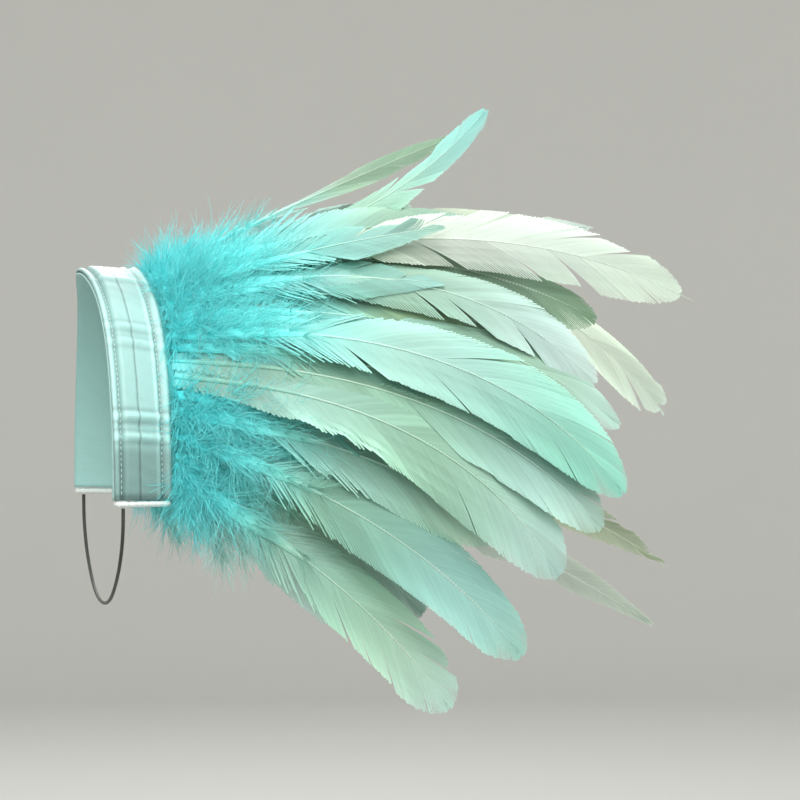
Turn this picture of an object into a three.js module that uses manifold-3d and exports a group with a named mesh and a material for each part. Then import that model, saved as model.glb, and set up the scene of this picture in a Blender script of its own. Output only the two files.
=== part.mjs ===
// A feather epaulette for one shoulder. Two ribbons are sewn into a band that arches over the top
// of the shoulder, a fringe of dyed feathers is caught between them along the band's outer edge,
// and a thin elastic passes under the arm from one end of the band to the other.
// Millimetres, +Z up. The front of the wearer faces -Y and the feathers reach outwards along +X.
// The origin is on the inside of the band at the top of its arch, where it sits on the shoulder.

import * as THREE from 'three';
import { mergeVertices } from 'three/addons/utils/BufferGeometryUtils.js';
import Module from 'manifold-3d';

// The arch of the band, on the inside of its lining.
const ARCH_HALF_DEPTH = 52;
const ARCH_DROP = 73.5;
const ARCH_LEAN = 4.5;
const ARCH_LEAN_REACH = 26;
const TILT_AT_TOP = 3;
const TILT_AT_HEM = 20;
const ARCH_DIVISIONS = 400;

// The layers of the band, counted outwards from the shoulder.
const RIBBON_WIDTH = 20;
const RIBBON_WALL = 1;
const SEAM_GAP = 0.3;
const TAPE_WALL = 1.1;
const TAPE_FLOOR = RIBBON_WALL + SEAM_GAP;
const FACE_FLOOR = TAPE_FLOOR + TAPE_WALL + SEAM_GAP;
const BAND_THICK = FACE_FLOOR + RIBBON_WALL;
const RIBBON_STEPS = 72;
const LINING_STEPS = 48;

// The tape that the feathers are sewn to reaches past the outer edge of the ribbons.
const TAPE_INNER_EDGE = -6;
const TAPE_OUTER_EDGE = RIBBON_WIDTH / 2 + 4.4;
const TAPE_END = 0.006;
const TAPE_STEPS = 56;
const ROOT_PLACE = RIBBON_WIDTH / 2 + 3.2;

// The rolled hem that closes each end of the band.
const HEM_HEIGHT = 2;
const HEM_PROUD = 0.35;
const HEM_CORNER = 0.9;
const HEM_CURVE_STEPS = 3;

// The elastic hangs between the two hems, towards the neck side of the band.
const ELASTIC_DIAMETER = 1.2;
const ELASTIC_SIDES = 8;
const ELASTIC_STEPS = 44;
const ELASTIC_X = -1.5;

// The face ribbon across its width: place from the band's middle line, and lift above the lining.
// Its neck edge is sewn down to the lining, and its outer edge lies on the tape.
const FACE_SECTION = [
  { place: -10, lift: RIBBON_WALL + SEAM_GAP },
  { place: -8.6, lift: RIBBON_WALL + SEAM_GAP },
  { place: -6.6, lift: FACE_FLOOR },
  { place: 0, lift: FACE_FLOOR },
  { place: 6.6, lift: FACE_FLOOR },
  { place: 10, lift: FACE_FLOOR },
];

// Crosswise puckers of the face ribbon: where each lies along the band, its height and its breadth.
const PUCKERS = [
  { seat: 0.1, height: 1.1, breadth: 3 },
  { seat: 0.133, height: 1.3, breadth: 3.2 },
  { seat: 0.26, height: 0.7, breadth: 3.2 },
  { seat: 0.29, height: 0.8, breadth: 3.2 },
  { seat: 0.41, height: 0.6, breadth: 3.4 },
  { seat: 0.58, height: 0.7, breadth: 3.6 },
  { seat: 0.7, height: 0.8, breadth: 3.6 },
  { seat: 0.83, height: 1.1, breadth: 4 },
];

// The outline of a blade: half width as a share of the row's half width, along the feather.
const OUTLINES = {
  round: [
    [0, 0.22], [0.12, 0.4], [0.28, 0.72], [0.5, 0.95],
    [0.7, 1], [0.87, 0.93], [0.96, 0.62], [1, 0.1],
  ],
  point: [
    [0, 0.22], [0.12, 0.46], [0.28, 0.8], [0.5, 1],
    [0.7, 0.82], [0.87, 0.44], [0.96, 0.18], [1, 0.05],
  ],
};

// The down round the foot of a feather: distance from its root, half width and thickness.
const DOWN = [
  { from: 0, half: 2.2, thick: 0.9 },
  { from: 5, half: 5, thick: 3.4 },
  { from: 13, half: 8.5, thick: 9.4 },
  { from: 26, half: 9.5, thick: 8.6 },
  { from: 38, half: 7.5, thick: 4.4 },
  { from: 50, half: 3, thick: 1 },
];

// A blade is a shallow gutter, thickest along its shaft.
const BLADE_THICK_AT_FOOT = 1.6;
const BLADE_THICK_AT_TIP = 1.1;
const BLADE_CUP = 0.16;
const BLADE_STEPS = 9;
const TUFT_STEPS = 5;
const BEND_POWER = 1.5;

// Feathers from the front hem, seat 0, over the shoulder to the back hem, seat 1.
// rise and swing give the way a feather leaves the band: up, and towards the back.
// droop and curl are added to them on the way to the tip, and twist turns the blade about its shaft.
// Angles are in degrees.
const FEATHER_COLUMNS = ['seat', 'rise', 'swing', 'length', 'width', 'droop', 'curl', 'twist', 'outline'];
const FEATHERS = [
  [0.04, -30, -16, 119, 24, -26, 10, 0, 'round'],
  [0.075, -23, -2, 100, 22, -24, 8, 0, 'round'],
  [0.11, -19, -18, 137, 25, -34, 12, 0, 'round'],
  [0.13, -13, 0, 88, 22, -24, 8, 0, 'round'],
  [0.15, -9, -15, 118, 24, -29, 12, 0, 'round'],
  [0.18, -5, -12, 118, 24, -38, 12, 0, 'round'],
  [0.21, -4, -21, 150, 31, -58, 18, 0, 'round'],
  [0.24, -2, -17, 158, 29, -48, 17, 0, 'round'],
  [0.265, 1, -15, 150, 28, -52, 15, 0, 'round'],
  [0.29, 4, -17, 168, 29, -58, 16, 0, 'round'],
  [0.31, 6, -13, 146, 27, -50, 13, 0, 'round'],
  [0.33, 5, -12, 162, 25, -46, 13, 0, 'round'],
  [0.35, 10, -8, 146, 25, -48, 10, 10, 'round'],
  [0.37, 14, -11, 158, 21, -62, 12, 20, 'round'],
  [0.385, 14, -5, 124, 21, -36, 8, 30, 'round'],
  [0.4, 14, -6, 156, 22, -44, 10, 30, 'round'],
  [0.42, 16, -8, 186, 22, -42, 10, 50, 'round'],
  [0.44, 18, -6, 104, 20, -16, 6, 70, 'point'],
  [0.46, 15, -4, 112, 22, -10, 6, 70, 'point'],
  [0.475, 15, -2, 160, 16, -22, 6, 60, 'point'],
  [0.5, 9, -4, 136, 18, 42, 6, 50, 'point'],
  [0.52, 21, 4, 98, 22, -12, 0, 70, 'point'],
  [0.54, 26, 2, 124, 18, -4, 0, 60, 'point'],
  [0.565, 22, 8, 104, 22, -20, 0, 60, 'point'],
  [0.585, 14, 10, 218, 23, -67, -4, 100, 'round'],
  [0.61, 15, 12, 134, 22, -36, -6, 10, 'round'],
  [0.64, 11, 14, 150, 24, -46, -12, 0, 'round'],
  [0.68, 8, 16, 164, 26, -50, -16, 0, 'round'],
  [0.715, 4, 18, 160, 26, -48, -16, 0, 'round'],
  [0.75, 1, 20, 154, 26, -48, -16, 0, 'round'],
  [0.78, -11, 9, 216, 22, -22, -6, 0, 'point'],
  [0.81, -4, 18, 146, 26, -46, -14, 0, 'round'],
  [0.84, -8, 18, 136, 25, -36, -12, 0, 'round'],
  [0.86, -15, 9, 216, 22, -18, -6, 0, 'point'],
  [0.89, -14, 18, 130, 25, -34, -12, 0, 'round'],
  [0.925, -20, 16, 120, 24, -28, -10, 0, 'round'],
  [0.96, -24, 16, 112, 24, -26, -10, 0, 'round'],
];

// Bare tufts of down that hang past the two hems, in the same columns as far as they go.
const TUFT_COLUMNS = ['seat', 'rise', 'swing', 'length', 'droop', 'curl'];
const TUFTS = [
  [0.025, -50, -14, 37, -20, 0],
  [0.04, -42, -12, 42, -16, 0],
  [0.06, -36, -8, 44, -14, 0],
  [0.94, -36, 8, 44, -14, 0],
  [0.96, -42, 12, 42, -16, 0],
  [0.975, -50, 14, 37, -20, 0],
];

// The elastic's route under the arm: places along Y and Z from the front hem to the back hem.
const ELASTIC_ROUTE = [
  [-56.1, -76.1],
  [-56, -80],
  [-55.2, -84],
  [-52.5, -89],
  [-48, -94],
  [-42, -98.5],
  [-34, -103],
  [-25, -106.8],
  [-15, -109.3],
  [-5, -110.4],
  [5, -110.4],
  [15, -109.3],
  [25, -106.8],
  [34, -103],
  [42, -98.5],
  [48, -94],
  [52.5, -89],
  [55.2, -84],
  [56, -80],
  [56.1, -76.1],
];

const FINISHES = {
  satin: { color: 0xbfe6e3, roughness: 0.35, metalness: 0 },
  lining: { color: 0xb4dad6, roughness: 0.5, metalness: 0 },
  hem: { color: 0xf1f4ef, roughness: 0.6, metalness: 0 },
  feather: { color: 0x9fcfbd, roughness: 0.7, metalness: 0 },
  elastic: { color: 0x3e3f3a, roughness: 0.55, metalness: 0 },
};

const wasm = await Module();
wasm.setup();

// The middle line of the band's inside, from the front hem over the shoulder to the back hem.
class ArchCurve extends THREE.Curve {
  constructor() {
    super();
    this.arcLengthDivisions = ARCH_DIVISIONS;
  }

  getPoint(share, target = new THREE.Vector3()) {
    const angle = Math.PI * share;
    const y = -ARCH_HALF_DEPTH * Math.cos(angle);
    const lean = ARCH_LEAN * (1 - Math.exp(-((y / ARCH_LEAN_REACH) ** 2)));
    return target.set(lean, y, ARCH_DROP * (Math.sin(angle) - 1));
  }
}

const ARCH = new ArchCurve();
const OUTWARDS = new THREE.Vector3(1, 0, 0);

// The band's own directions at a seat: across its width, and out of its face.
function bandFrame(seat) {
  const share = ARCH.getUtoTmapping(seat);
  const angle = Math.PI * share;
  const square = new THREE.Vector3(0, -Math.cos(angle) / ARCH_HALF_DEPTH, Math.sin(angle) / ARCH_DROP);
  square.normalize();
  const hemShare = Math.abs(Math.cos(angle));
  const tilt = THREE.MathUtils.degToRad(THREE.MathUtils.lerp(TILT_AT_TOP, TILT_AT_HEM, hemShare));
  const across = OUTWARDS.clone().multiplyScalar(Math.cos(tilt)).addScaledVector(square, -Math.sin(tilt));
  const out = square.multiplyScalar(Math.cos(tilt)).addScaledVector(OUTWARDS, Math.sin(tilt));
  return { centre: ARCH.getPoint(share), across, out };
}

function onBand(frame, place, lift) {
  return frame.centre.clone().addScaledVector(frame.across, place).addScaledVector(frame.out, lift);
}

// A value read between the rows of a table that is in order of its first number.
function between(rows, at) {
  let index = 1;
  while (index < rows.length - 1 && rows[index][0] < at) index += 1;
  const [startAt, startValue] = rows[index - 1];
  const [endAt, endValue] = rows[index];
  const share = THREE.MathUtils.clamp((at - startAt) / (endAt - startAt), 0, 1);
  return THREE.MathUtils.lerp(startValue, endValue, share);
}

// A closed solid through rings of equal count. Each ring runs along its top and back along its
// underside, so an end is closed by a strip between the two.
function loft(rings) {
  const count = rings[0].length;
  const positions = rings.flat().flatMap((point) => [point.x, point.y, point.z]);
  const index = [];
  for (let ring = 0; ring < rings.length - 1; ring += 1) {
    for (let corner = 0; corner < count; corner += 1) {
      const next = (corner + 1) % count;
      const here = ring * count;
      const ahead = here + count;
      index.push(here + corner, ahead + corner, ahead + next);
      index.push(here + corner, ahead + next, here + next);
    }
  }
  const last = (rings.length - 1) * count;
  for (let corner = 0; corner < count / 2 - 1; corner += 1) {
    const far = count - 1 - corner;
    index.push(corner, corner + 1, far, corner + 1, far - 1, far);
    index.push(last + corner, last + far, last + corner + 1, last + corner + 1, last + far, last + far - 1);
  }
  const geometry = new THREE.BufferGeometry();
  geometry.setAttribute('position', new THREE.Float32BufferAttribute(positions, 3));
  geometry.setIndex(index);
  return volumeOf(geometry) < 0 ? turnedInsideOut(geometry) : geometry;
}

function volumeOf(geometry) {
  const position = geometry.getAttribute('position');
  const index = geometry.getIndex().array;
  const corners = [new THREE.Vector3(), new THREE.Vector3(), new THREE.Vector3()];
  let sixfold = 0;
  for (let start = 0; start < index.length; start += 3) {
    corners.forEach((corner, offset) => corner.fromBufferAttribute(position, index[start + offset]));
    sixfold += corners[0].dot(corners[1].clone().cross(corners[2]));
  }
  return sixfold / 6;
}

function turnedInsideOut(geometry) {
  const index = geometry.getIndex().array;
  const turned = [];
  for (let start = 0; start < index.length; start += 3) {
    turned.push(index[start], index[start + 2], index[start + 1]);
  }
  geometry.setIndex(turned);
  return geometry;
}

// A strip that follows the band from one seat to another. layers gives its section at a seat.
function bandStrip(from, to, steps, layers) {
  const rings = [];
  for (let step = 0; step <= steps; step += 1) {
    const seat = THREE.MathUtils.lerp(from, to, step / steps);
    const frame = bandFrame(seat);
    const section = layers(seat);
    const top = section.map(({ place, floor, wall }) => onBand(frame, place, floor + wall));
    const underside = section.map(({ place, floor }) => onBand(frame, place, floor));
    rings.push([...top, ...underside.reverse()]);
  }
  return loft(rings);
}

function liningGeometry() {
  const edges = [-RIBBON_WIDTH / 2, RIBBON_WIDTH / 2];
  const section = edges.map((place) => ({ place, floor: 0, wall: RIBBON_WALL }));
  return bandStrip(0, 1, LINING_STEPS, () => section);
}

// Height of the puckers at a seat, each a smooth hump.
function puckerHeight(seat) {
  const length = ARCH.getLength();
  return PUCKERS.reduce((height, pucker) => {
    const distance = ((seat - pucker.seat) * length) / (0.5 * pucker.breadth);
    return height + pucker.height * Math.exp(-(distance ** 2));
  }, 0);
}

function faceGeometry() {
  return bandStrip(0, 1, RIBBON_STEPS, (seat) => {
    const pucker = puckerHeight(seat);
    return FACE_SECTION.map(({ place, lift }) => {
      const slack = 1 - (2 * place / RIBBON_WIDTH) ** 2;
      return { place, floor: lift + slack * pucker, wall: RIBBON_WALL };
    });
  });
}

function tapeGeometry() {
  const edges = [TAPE_INNER_EDGE, TAPE_OUTER_EDGE];
  const section = edges.map((place) => ({ place, floor: TAPE_FLOOR, wall: TAPE_WALL }));
  return bandStrip(TAPE_END, 1 - TAPE_END, TAPE_STEPS, () => section);
}

// The way a feather points at a share of its length.
function heading(row, share) {
  const bend = share ** BEND_POWER;
  const rise = THREE.MathUtils.degToRad(row.rise + row.droop * bend);
  const swing = THREE.MathUtils.degToRad(row.swing + row.curl * bend);
  return new THREE.Vector3(
    Math.cos(rise) * Math.cos(swing),
    Math.cos(rise) * Math.sin(swing),
    Math.sin(rise),
  );
}

// A feather or tuft: rings of four points along its bent shaft, from the tape to the tip.
function plumeGeometry(row, steps, sectionAt) {
  const frame = bandFrame(row.seat);
  const point = onBand(frame, ROOT_PLACE, TAPE_FLOOR + TAPE_WALL / 2);
  const rings = [];
  for (let step = 0; step <= steps; step += 1) {
    const share = step / steps;
    const ahead = heading(row, share);
    const flat = frame.out.clone().cross(ahead).normalize();
    const up = ahead.clone().cross(flat);
    const twist = THREE.MathUtils.degToRad((row.twist ?? 0) * share);
    const side = flat.clone().multiplyScalar(Math.cos(twist)).addScaledVector(up, Math.sin(twist));
    const back = ahead.clone().cross(side);
    const { half, thick, cup } = sectionAt(share);
    rings.push([
      point.clone().addScaledVector(side, half).addScaledVector(back, -cup),
      point.clone().addScaledVector(back, thick / 2),
      point.clone().addScaledVector(side, -half).addScaledVector(back, -cup),
      point.clone().addScaledVector(back, -thick / 2),
    ]);
    point.addScaledVector(heading(row, share + 0.5 / steps), row.length / steps);
  }
  return loft(rings);
}

const DOWN_HALF = DOWN.map(({ from, half }) => [from, half]);
const DOWN_THICK = DOWN.map(({ from, thick }) => [from, thick]);

function featherGeometry(row) {
  return plumeGeometry(row, BLADE_STEPS, (share) => {
    const distance = share * row.length;
    const bladeHalf = 0.5 * row.width * between(OUTLINES[row.outline], share);
    const bladeThick = THREE.MathUtils.lerp(BLADE_THICK_AT_FOOT, BLADE_THICK_AT_TIP, share);
    const downThick = between(DOWN_THICK, distance);
    const half = Math.max(bladeHalf, between(DOWN_HALF, distance));
    const cup = downThick > bladeThick ? 0 : BLADE_CUP * half;
    const thick = distance > 0 ? Math.max(bladeThick, downThick) : downThick;
    return { half, thick, cup };
  });
}

function tuftGeometry(row) {
  const { from: downEnd } = DOWN.at(-1);
  return plumeGeometry(row, TUFT_STEPS, (share) => {
    const distance = share * downEnd;
    return { half: between(DOWN_HALF, distance), thick: between(DOWN_THICK, distance), cup: 0 };
  });
}

function rowsOf(columns, table) {
  return table.map((values) => Object.fromEntries(columns.map((column, place) => [column, values[place]])));
}

function solidOf(geometry) {
  const bare = geometry.clone();
  bare.deleteAttribute('normal');
  bare.deleteAttribute('uv');
  const merged = mergeVertices(bare);
  const vertProperties = new Float32Array(merged.getAttribute('position').array);
  const triVerts = new Uint32Array(merged.getIndex().array);
  return new wasm.Manifold(new wasm.Mesh({ numProp: 3, vertProperties, triVerts }));
}

function geometryOf(solid) {
  const mesh = solid.getMesh();
  const geometry = new THREE.BufferGeometry();
  geometry.setAttribute('position', new THREE.Float32BufferAttribute(mesh.vertProperties, 3));
  geometry.setIndex([...mesh.triVerts]);
  return geometry;
}

// The tape, the feathers and the tufts as one body. Joining can shut small pockets in between
// neighbouring plumes, and keeping the outer skin alone fills them.
function fringeGeometry() {
  const plumes = [
    ...rowsOf(FEATHER_COLUMNS, FEATHERS).map(featherGeometry),
    ...rowsOf(TUFT_COLUMNS, TUFTS).map(tuftGeometry),
  ];
  const joined = plumes.reduce((body, plume) => body.add(solidOf(plume)), solidOf(tapeGeometry()));
  const skins = joined.decompose();
  const outer = skins.reduce((best, skin) => (skin.volume() > best.volume() ? skin : best));
  return geometryOf(outer);
}

function roundedBar(width, height, corner) {
  const shape = new THREE.Shape();
  const right = width - corner;
  const top = height - corner;
  shape.moveTo(corner, 0);
  shape.lineTo(right, 0);
  shape.absarc(right, corner, corner, -Math.PI / 2, 0);
  shape.lineTo(width, top);
  shape.absarc(right, top, corner, 0, Math.PI / 2);
  shape.lineTo(corner, height);
  shape.absarc(corner, top, corner, Math.PI / 2, Math.PI);
  shape.lineTo(0, corner);
  shape.absarc(corner, corner, corner, Math.PI, 1.5 * Math.PI);
  return shape;
}

// The rolled hem just past the band's end at a seat, across the whole width of the ribbons.
function hemMesh(name, seat) {
  const thick = BAND_THICK + 2 * HEM_PROUD;
  const geometry = new THREE.ExtrudeGeometry(roundedBar(thick, HEM_HEIGHT, HEM_CORNER), {
    depth: RIBBON_WIDTH,
    bevelEnabled: false,
    curveSegments: HEM_CURVE_STEPS,
  });
  const frame = bandFrame(seat);
  const along = frame.across.clone().cross(frame.out);
  const pastTheEnd = along.z < 0 ? SEAM_GAP : -(SEAM_GAP + HEM_HEIGHT);
  const mesh = namedMesh(name, geometry, FINISHES.hem);
  mesh.quaternion.setFromRotationMatrix(new THREE.Matrix4().makeBasis(frame.out, along, frame.across));
  mesh.position.copy(onBand(frame, -RIBBON_WIDTH / 2, -HEM_PROUD));
  mesh.position.addScaledVector(along, pastTheEnd);
  return mesh;
}

function elasticGeometry() {
  const route = ELASTIC_ROUTE.map(([y, z]) => new THREE.Vector3(ELASTIC_X, y, z));
  const section = new THREE.Shape();
  section.absarc(0, 0, ELASTIC_DIAMETER / 2, 0, 2 * Math.PI);
  return new THREE.ExtrudeGeometry(section, {
    steps: ELASTIC_STEPS,
    curveSegments: ELASTIC_SIDES / 2,
    bevelEnabled: false,
    extrudePath: new THREE.CatmullRomCurve3(route),
  });
}

function namedMesh(name, geometry, finish) {
  const mesh = new THREE.Mesh(geometry, new THREE.MeshStandardMaterial(finish));
  mesh.name = name;
  return mesh;
}

const epaulette = new THREE.Group();
epaulette.add(namedMesh('ribbon_backing', liningGeometry(), FINISHES.lining));
epaulette.add(namedMesh('ribbon_face', faceGeometry(), FINISHES.satin));
epaulette.add(hemMesh('front_end_hem', 0));
epaulette.add(hemMesh('back_end_hem', 1));
epaulette.add(namedMesh('feather_fringe', fringeGeometry(), FINISHES.feather));
epaulette.add(namedMesh('underarm_elastic', elasticGeometry(), FINISHES.elastic));

export default epaulette;
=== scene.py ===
"""A feather epaulette: satin ribbon band, dyed feathers, down and an elastic under the arm.

Sizes are in metres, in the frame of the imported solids: +Z is up, -Y is the wearer's front and
+X points outwards along the shoulder. The origin is inside the top of the band's arch.
"""
import logging
import math
from dataclasses import astuple, dataclass
from enum import Enum
from functools import cached_property

import bpy
import numpy as np
from mathutils import Euler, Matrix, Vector


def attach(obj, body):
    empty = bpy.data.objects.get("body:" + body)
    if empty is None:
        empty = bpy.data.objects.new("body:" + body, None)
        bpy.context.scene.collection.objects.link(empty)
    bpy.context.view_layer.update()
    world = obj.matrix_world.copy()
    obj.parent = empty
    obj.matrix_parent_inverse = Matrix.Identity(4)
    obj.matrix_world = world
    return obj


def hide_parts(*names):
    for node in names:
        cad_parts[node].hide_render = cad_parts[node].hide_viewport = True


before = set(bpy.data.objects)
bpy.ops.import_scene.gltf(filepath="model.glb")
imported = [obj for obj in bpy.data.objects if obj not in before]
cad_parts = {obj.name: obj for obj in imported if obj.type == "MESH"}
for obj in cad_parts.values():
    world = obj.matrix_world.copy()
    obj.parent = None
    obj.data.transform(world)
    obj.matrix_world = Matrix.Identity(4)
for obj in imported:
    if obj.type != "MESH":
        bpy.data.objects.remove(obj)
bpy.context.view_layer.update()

log = logging.getLogger("epaulette")

Array = np.ndarray
Colour = tuple[float, float, float]
Place = tuple[float, float, float]
Range = tuple[float, float]
Node = bpy.types.Node
Socket = bpy.types.NodeSocket
Piece = bpy.types.Object

BODY = "root"
FLOAT = "NodeSocketFloat"
WHOLE = "NodeSocketInt"
VECTOR = "NodeSocketVector"
SHAPE = "NodeSocketGeometry"
MATERIAL = "NodeSocketMaterial"


def linear(red: float, green: float, blue: float) -> Colour:
    """Turns a screen colour of 0 to 255 into scene-linear values.

    Args:
        red: Red part of the colour.
        green: Green part of the colour.
        blue: Blue part of the colour.

    Returns:
        The three linear values.
    """
    parts = (value / 255 for value in (red, green, blue))
    return tuple(part / 12.92 if part <= 0.04045 else ((part + 0.055) / 1.055) ** 2.4 for part in parts)


def unit(vectors: Array) -> Array:
    """Scales each row to a length of one."""
    return vectors / np.linalg.norm(vectors, axis=-1, keepdims=True)


def smooth_step(start: float, end: float, values: Array) -> Array:
    """Rises from 0 at start to 1 at end with level ends.

    Args:
        start: Value where the rise begins.
        end: Value where the rise ends.
        values: Where to read it.

    Returns:
        A share for each value.
    """
    share = np.clip((values - start) / (end - start), 0.0, 1.0)
    return share * share * (3.0 - 2.0 * share)


def bell(values: Array) -> Array:
    """A smooth hump, 1 at a value of 0 and falling off on both sides."""
    return np.exp(-(values**2))


def blend(first: Array | Colour, second: Array | Colour, share: Array) -> Array:
    """Blends two colours, or rows of them.

    Args:
        first: What there is at a share of 0.
        second: What there is at a share of 1.
        share: The shares.

    Returns:
        A colour for each share.
    """
    share = share[..., None]
    return np.array(first) * (1.0 - share) + np.array(second) * share


def circle(sides: int) -> Array:
    """Angles of points that are evenly spaced round a circle."""
    return np.linspace(0.0, math.tau, sides, endpoint=False)


def grid(rows: Array, columns: Array) -> tuple[Array, ...]:
    """Two tables that pair each row's value with each column's."""
    return tuple(np.meshgrid(rows, columns, indexing="ij"))


def tube_walls(rings: int, sides: int) -> Array:
    """Faces of a tube with open ends, whose rings are listed one after another.

    Args:
        rings: How many rings it has.
        sides: Points in a ring.

    Returns:
        Its faces.
    """
    ring, side = grid(np.arange(rings - 1), np.arange(sides))
    here = ring * sides + side
    after = ring * sides + (side + 1) % sides
    return np.stack([here, after, after + sides, here + sides], axis=-1).reshape(-1, 4)


def tube_quads(rings: int, sides: int) -> Array:
    """Faces of one closed tube whose rings are listed one after another.

    Args:
        rings: How many rings it has.
        sides: Points in a ring, an even number.

    Returns:
        Its faces, the two ends closed by strips of quads.
    """
    strip = np.array([[k, sides - 1 - k, sides - 2 - k, k + 1] for k in range(sides // 2 - 1)])
    far = strip[:, ::-1] + (rings - 1) * sides
    return np.concatenate([tube_walls(rings, sides), strip, far])


def repeated(quads: Array, count: int, points_each: int) -> Array:
    """Repeats the faces of one shape for many alike.

    Args:
        quads: Faces of one shape.
        count: How many shapes there are.
        points_each: Points in one shape.

    Returns:
        All faces.
    """
    offsets = np.arange(count)[:, None, None] * points_each
    return (quads[None] + offsets).reshape(-1, 4)


def new_object(name: str, data: bpy.types.ID) -> Piece:
    """Makes an object at the origin and links it to the scene.

    Args:
        name: Its name.
        data: Its mesh, curve, light or camera.

    Returns:
        The object.
    """
    made = bpy.data.objects.new(name, data)
    bpy.context.scene.collection.objects.link(made)
    return made


def facing(place: Place, aim: Place) -> Euler:
    """The turn of a light or camera that stands at a place and looks at its aim."""
    return (Vector(aim) - Vector(place)).to_track_quat("-Z", "Y").to_euler()


class Graph:
    """Adds nodes to one node tree and links them as they come."""

    def __init__(self, tree: bpy.types.NodeTree) -> None:
        """Keeps the tree that the nodes go into."""
        self.tree = tree

    def put(self, value: object, socket: Socket) -> None:
        """Gives an input its value, or links it.

        Args:
            value: A plain value, or the socket to link from.
            socket: The input.
        """
        if isinstance(value, Socket):
            self.tree.links.new(value, socket)
        else:
            socket.default_value = value

    def add(
        self, kind: str, inputs: dict[str | int, object] | None = None, **settings: object
    ) -> Node:
        """Adds one node.

        Args:
            kind: Blender's name of the node type.
            inputs: Values or sockets for its inputs, by socket name or place.
            settings: Values of the node's own properties.

        Returns:
            The new node.
        """
        node = self.tree.nodes.new(kind)
        for name, value in settings.items():
            setattr(node, name, value)
        for key, value in (inputs or {}).items():
            self.put(value, node.inputs[key])
        return node

    def math(self, operation: str, first: object, second: object = 0.0) -> Socket:
        """Adds a Math node.

        Args:
            operation: What it does with its two values.
            first: First value or socket.
            second: Second value or socket.

        Returns:
            The result's socket.
        """
        node = self.add("ShaderNodeMath", {0: first, 1: second}, operation=operation)
        return node.outputs["Value"]

    def vector_math(self, operation: str, *vectors: object) -> bpy.types.NodeOutputs:
        """Adds a Vector Math node.

        Args:
            operation: What it does with its vectors.
            vectors: The vectors or their sockets.

        Returns:
            The node's outputs.
        """
        return self.add("ShaderNodeVectorMath", dict(enumerate(vectors)), operation=operation).outputs

    def ranged(self, value: Socket, given: Range, wanted: Range = (0.0, 1.0)) -> Socket:
        """Carries a value from one range to another.

        Args:
            value: The value's socket.
            given: The range that it comes in.
            wanted: The range that it goes to.

        Returns:
            The new value's socket.
        """
        limits = zip(("From Min", "From Max", "To Min", "To Max"), (*given, *wanted))
        return self.add("ShaderNodeMapRange", {"Value": value, **dict(limits)}).outputs["Result"]

    def round_one(self, value: object, swing: object) -> Socket:
        """Turns a value of 0 to 1 into a tone round 1.

        Args:
            value: The value's socket.
            swing: How far the tone swings in all.

        Returns:
            The tone's socket.
        """
        return self.math("ADD", self.math("MULTIPLY", self.math("SUBTRACT", value, 0.5), swing), 1.0)

    def mix(self, share: object, first: object, second: object, blending: str = "MIX") -> Socket:
        """Mixes two colours.

        Args:
            share: How much of the second colour there is.
            first: First colour or socket.
            second: Second colour or socket.
            blending: How the second colour goes over the first.

        Returns:
            The mixed colour's socket.
        """
        node = self.add("ShaderNodeMix", {0: share}, data_type="RGBA", blend_type=blending)
        for place, colour in ((6, first), (7, second)):
            self.put(colour if isinstance(colour, Socket) else (*colour, 1.0), node.inputs[place])
        return node.outputs[2]

    def toned(self, colour: object, tone: object) -> Socket:
        """Darkens or brightens a colour.

        Args:
            colour: The colour or its socket.
            tone: The tone's socket.

        Returns:
            The toned colour's socket.
        """
        grey = self.add("ShaderNodeCombineColor", dict.fromkeys(("Red", "Green", "Blue"), tone))
        return self.mix(1.0, colour, grey.outputs["Color"], "MULTIPLY")

    def chance(self, low: object, high: object, seed: object) -> Socket:
        """Adds chance values, or chance vectors where the limits are vectors.

        Args:
            low: Lowest value.
            high: Highest value.
            seed: The seed, or its socket.

        Returns:
            The values' socket.
        """
        vectors = isinstance(low, tuple)
        kind, first, output = ("FLOAT_VECTOR", 0, 0) if vectors else ("FLOAT", 2, 1)
        node = self.add(
            "FunctionNodeRandomValue", {first: low, first + 1: high, "Seed": seed}, data_type=kind
        )
        return node.outputs[output]

    def flow(self) -> Socket:
        """Reads the directions that a mesh stores as its flow."""
        node = self.add("GeometryNodeInputNamedAttribute", {"Name": "flow"}, data_type="FLOAT_VECTOR")
        return node.outputs["Attribute"]

    def arc(self, points: tuple[Place, ...], steps: int) -> Socket:
        """Makes a bent line.

        Args:
            points: Its start, the point that it bends towards, and its end.
            steps: How many steps it has.

        Returns:
            The line's curve.
        """
        places = zip(("Start", "Middle", "End"), points)
        node = self.add("GeometryNodeCurveQuadraticBezier", {"Resolution": steps, **dict(places)})
        return node.outputs["Curve"]

    def tube(self, line: Socket, sides: int, radius: Socket, **more: object) -> Socket:
        """Makes a closed tube along a curve.

        Args:
            line: The curve.
            sides: How many sides the tube has.
            radius: Its radius.
            more: Other inputs of the tube's node.

        Returns:
            The tube's mesh.
        """
        ring = self.add("GeometryNodeCurvePrimitiveCircle", {"Resolution": sides, "Radius": radius})
        inputs = {"Curve": line, "Profile Curve": ring.outputs["Curve"], "Fill Caps": True, **more}
        return self.add("GeometryNodeCurveToMesh", inputs).outputs["Mesh"]

    def close(self, instances: Socket, start: Node, end: Node) -> bpy.types.NodeTree:
        """Ends a geometry tree with real geometry in the tree's own material.

        Args:
            instances: What the tree has laid out.
            start: The group's input node.
            end: The group's output node.

        Returns:
            The finished tree.
        """
        whole = self.add("GeometryNodeRealizeInstances", {"Geometry": instances})
        dressed = self.add(
            "GeometryNodeSetMaterial",
            {"Geometry": whole.outputs["Geometry"], "Material": start.outputs["Material"]},
        )
        self.put(dressed.outputs["Geometry"], end.inputs["Geometry"])
        return self.tree


@dataclass(frozen=True)
class Port:
    """One input or output of a node group."""

    name: str
    kind: str
    default: object = None


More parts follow.
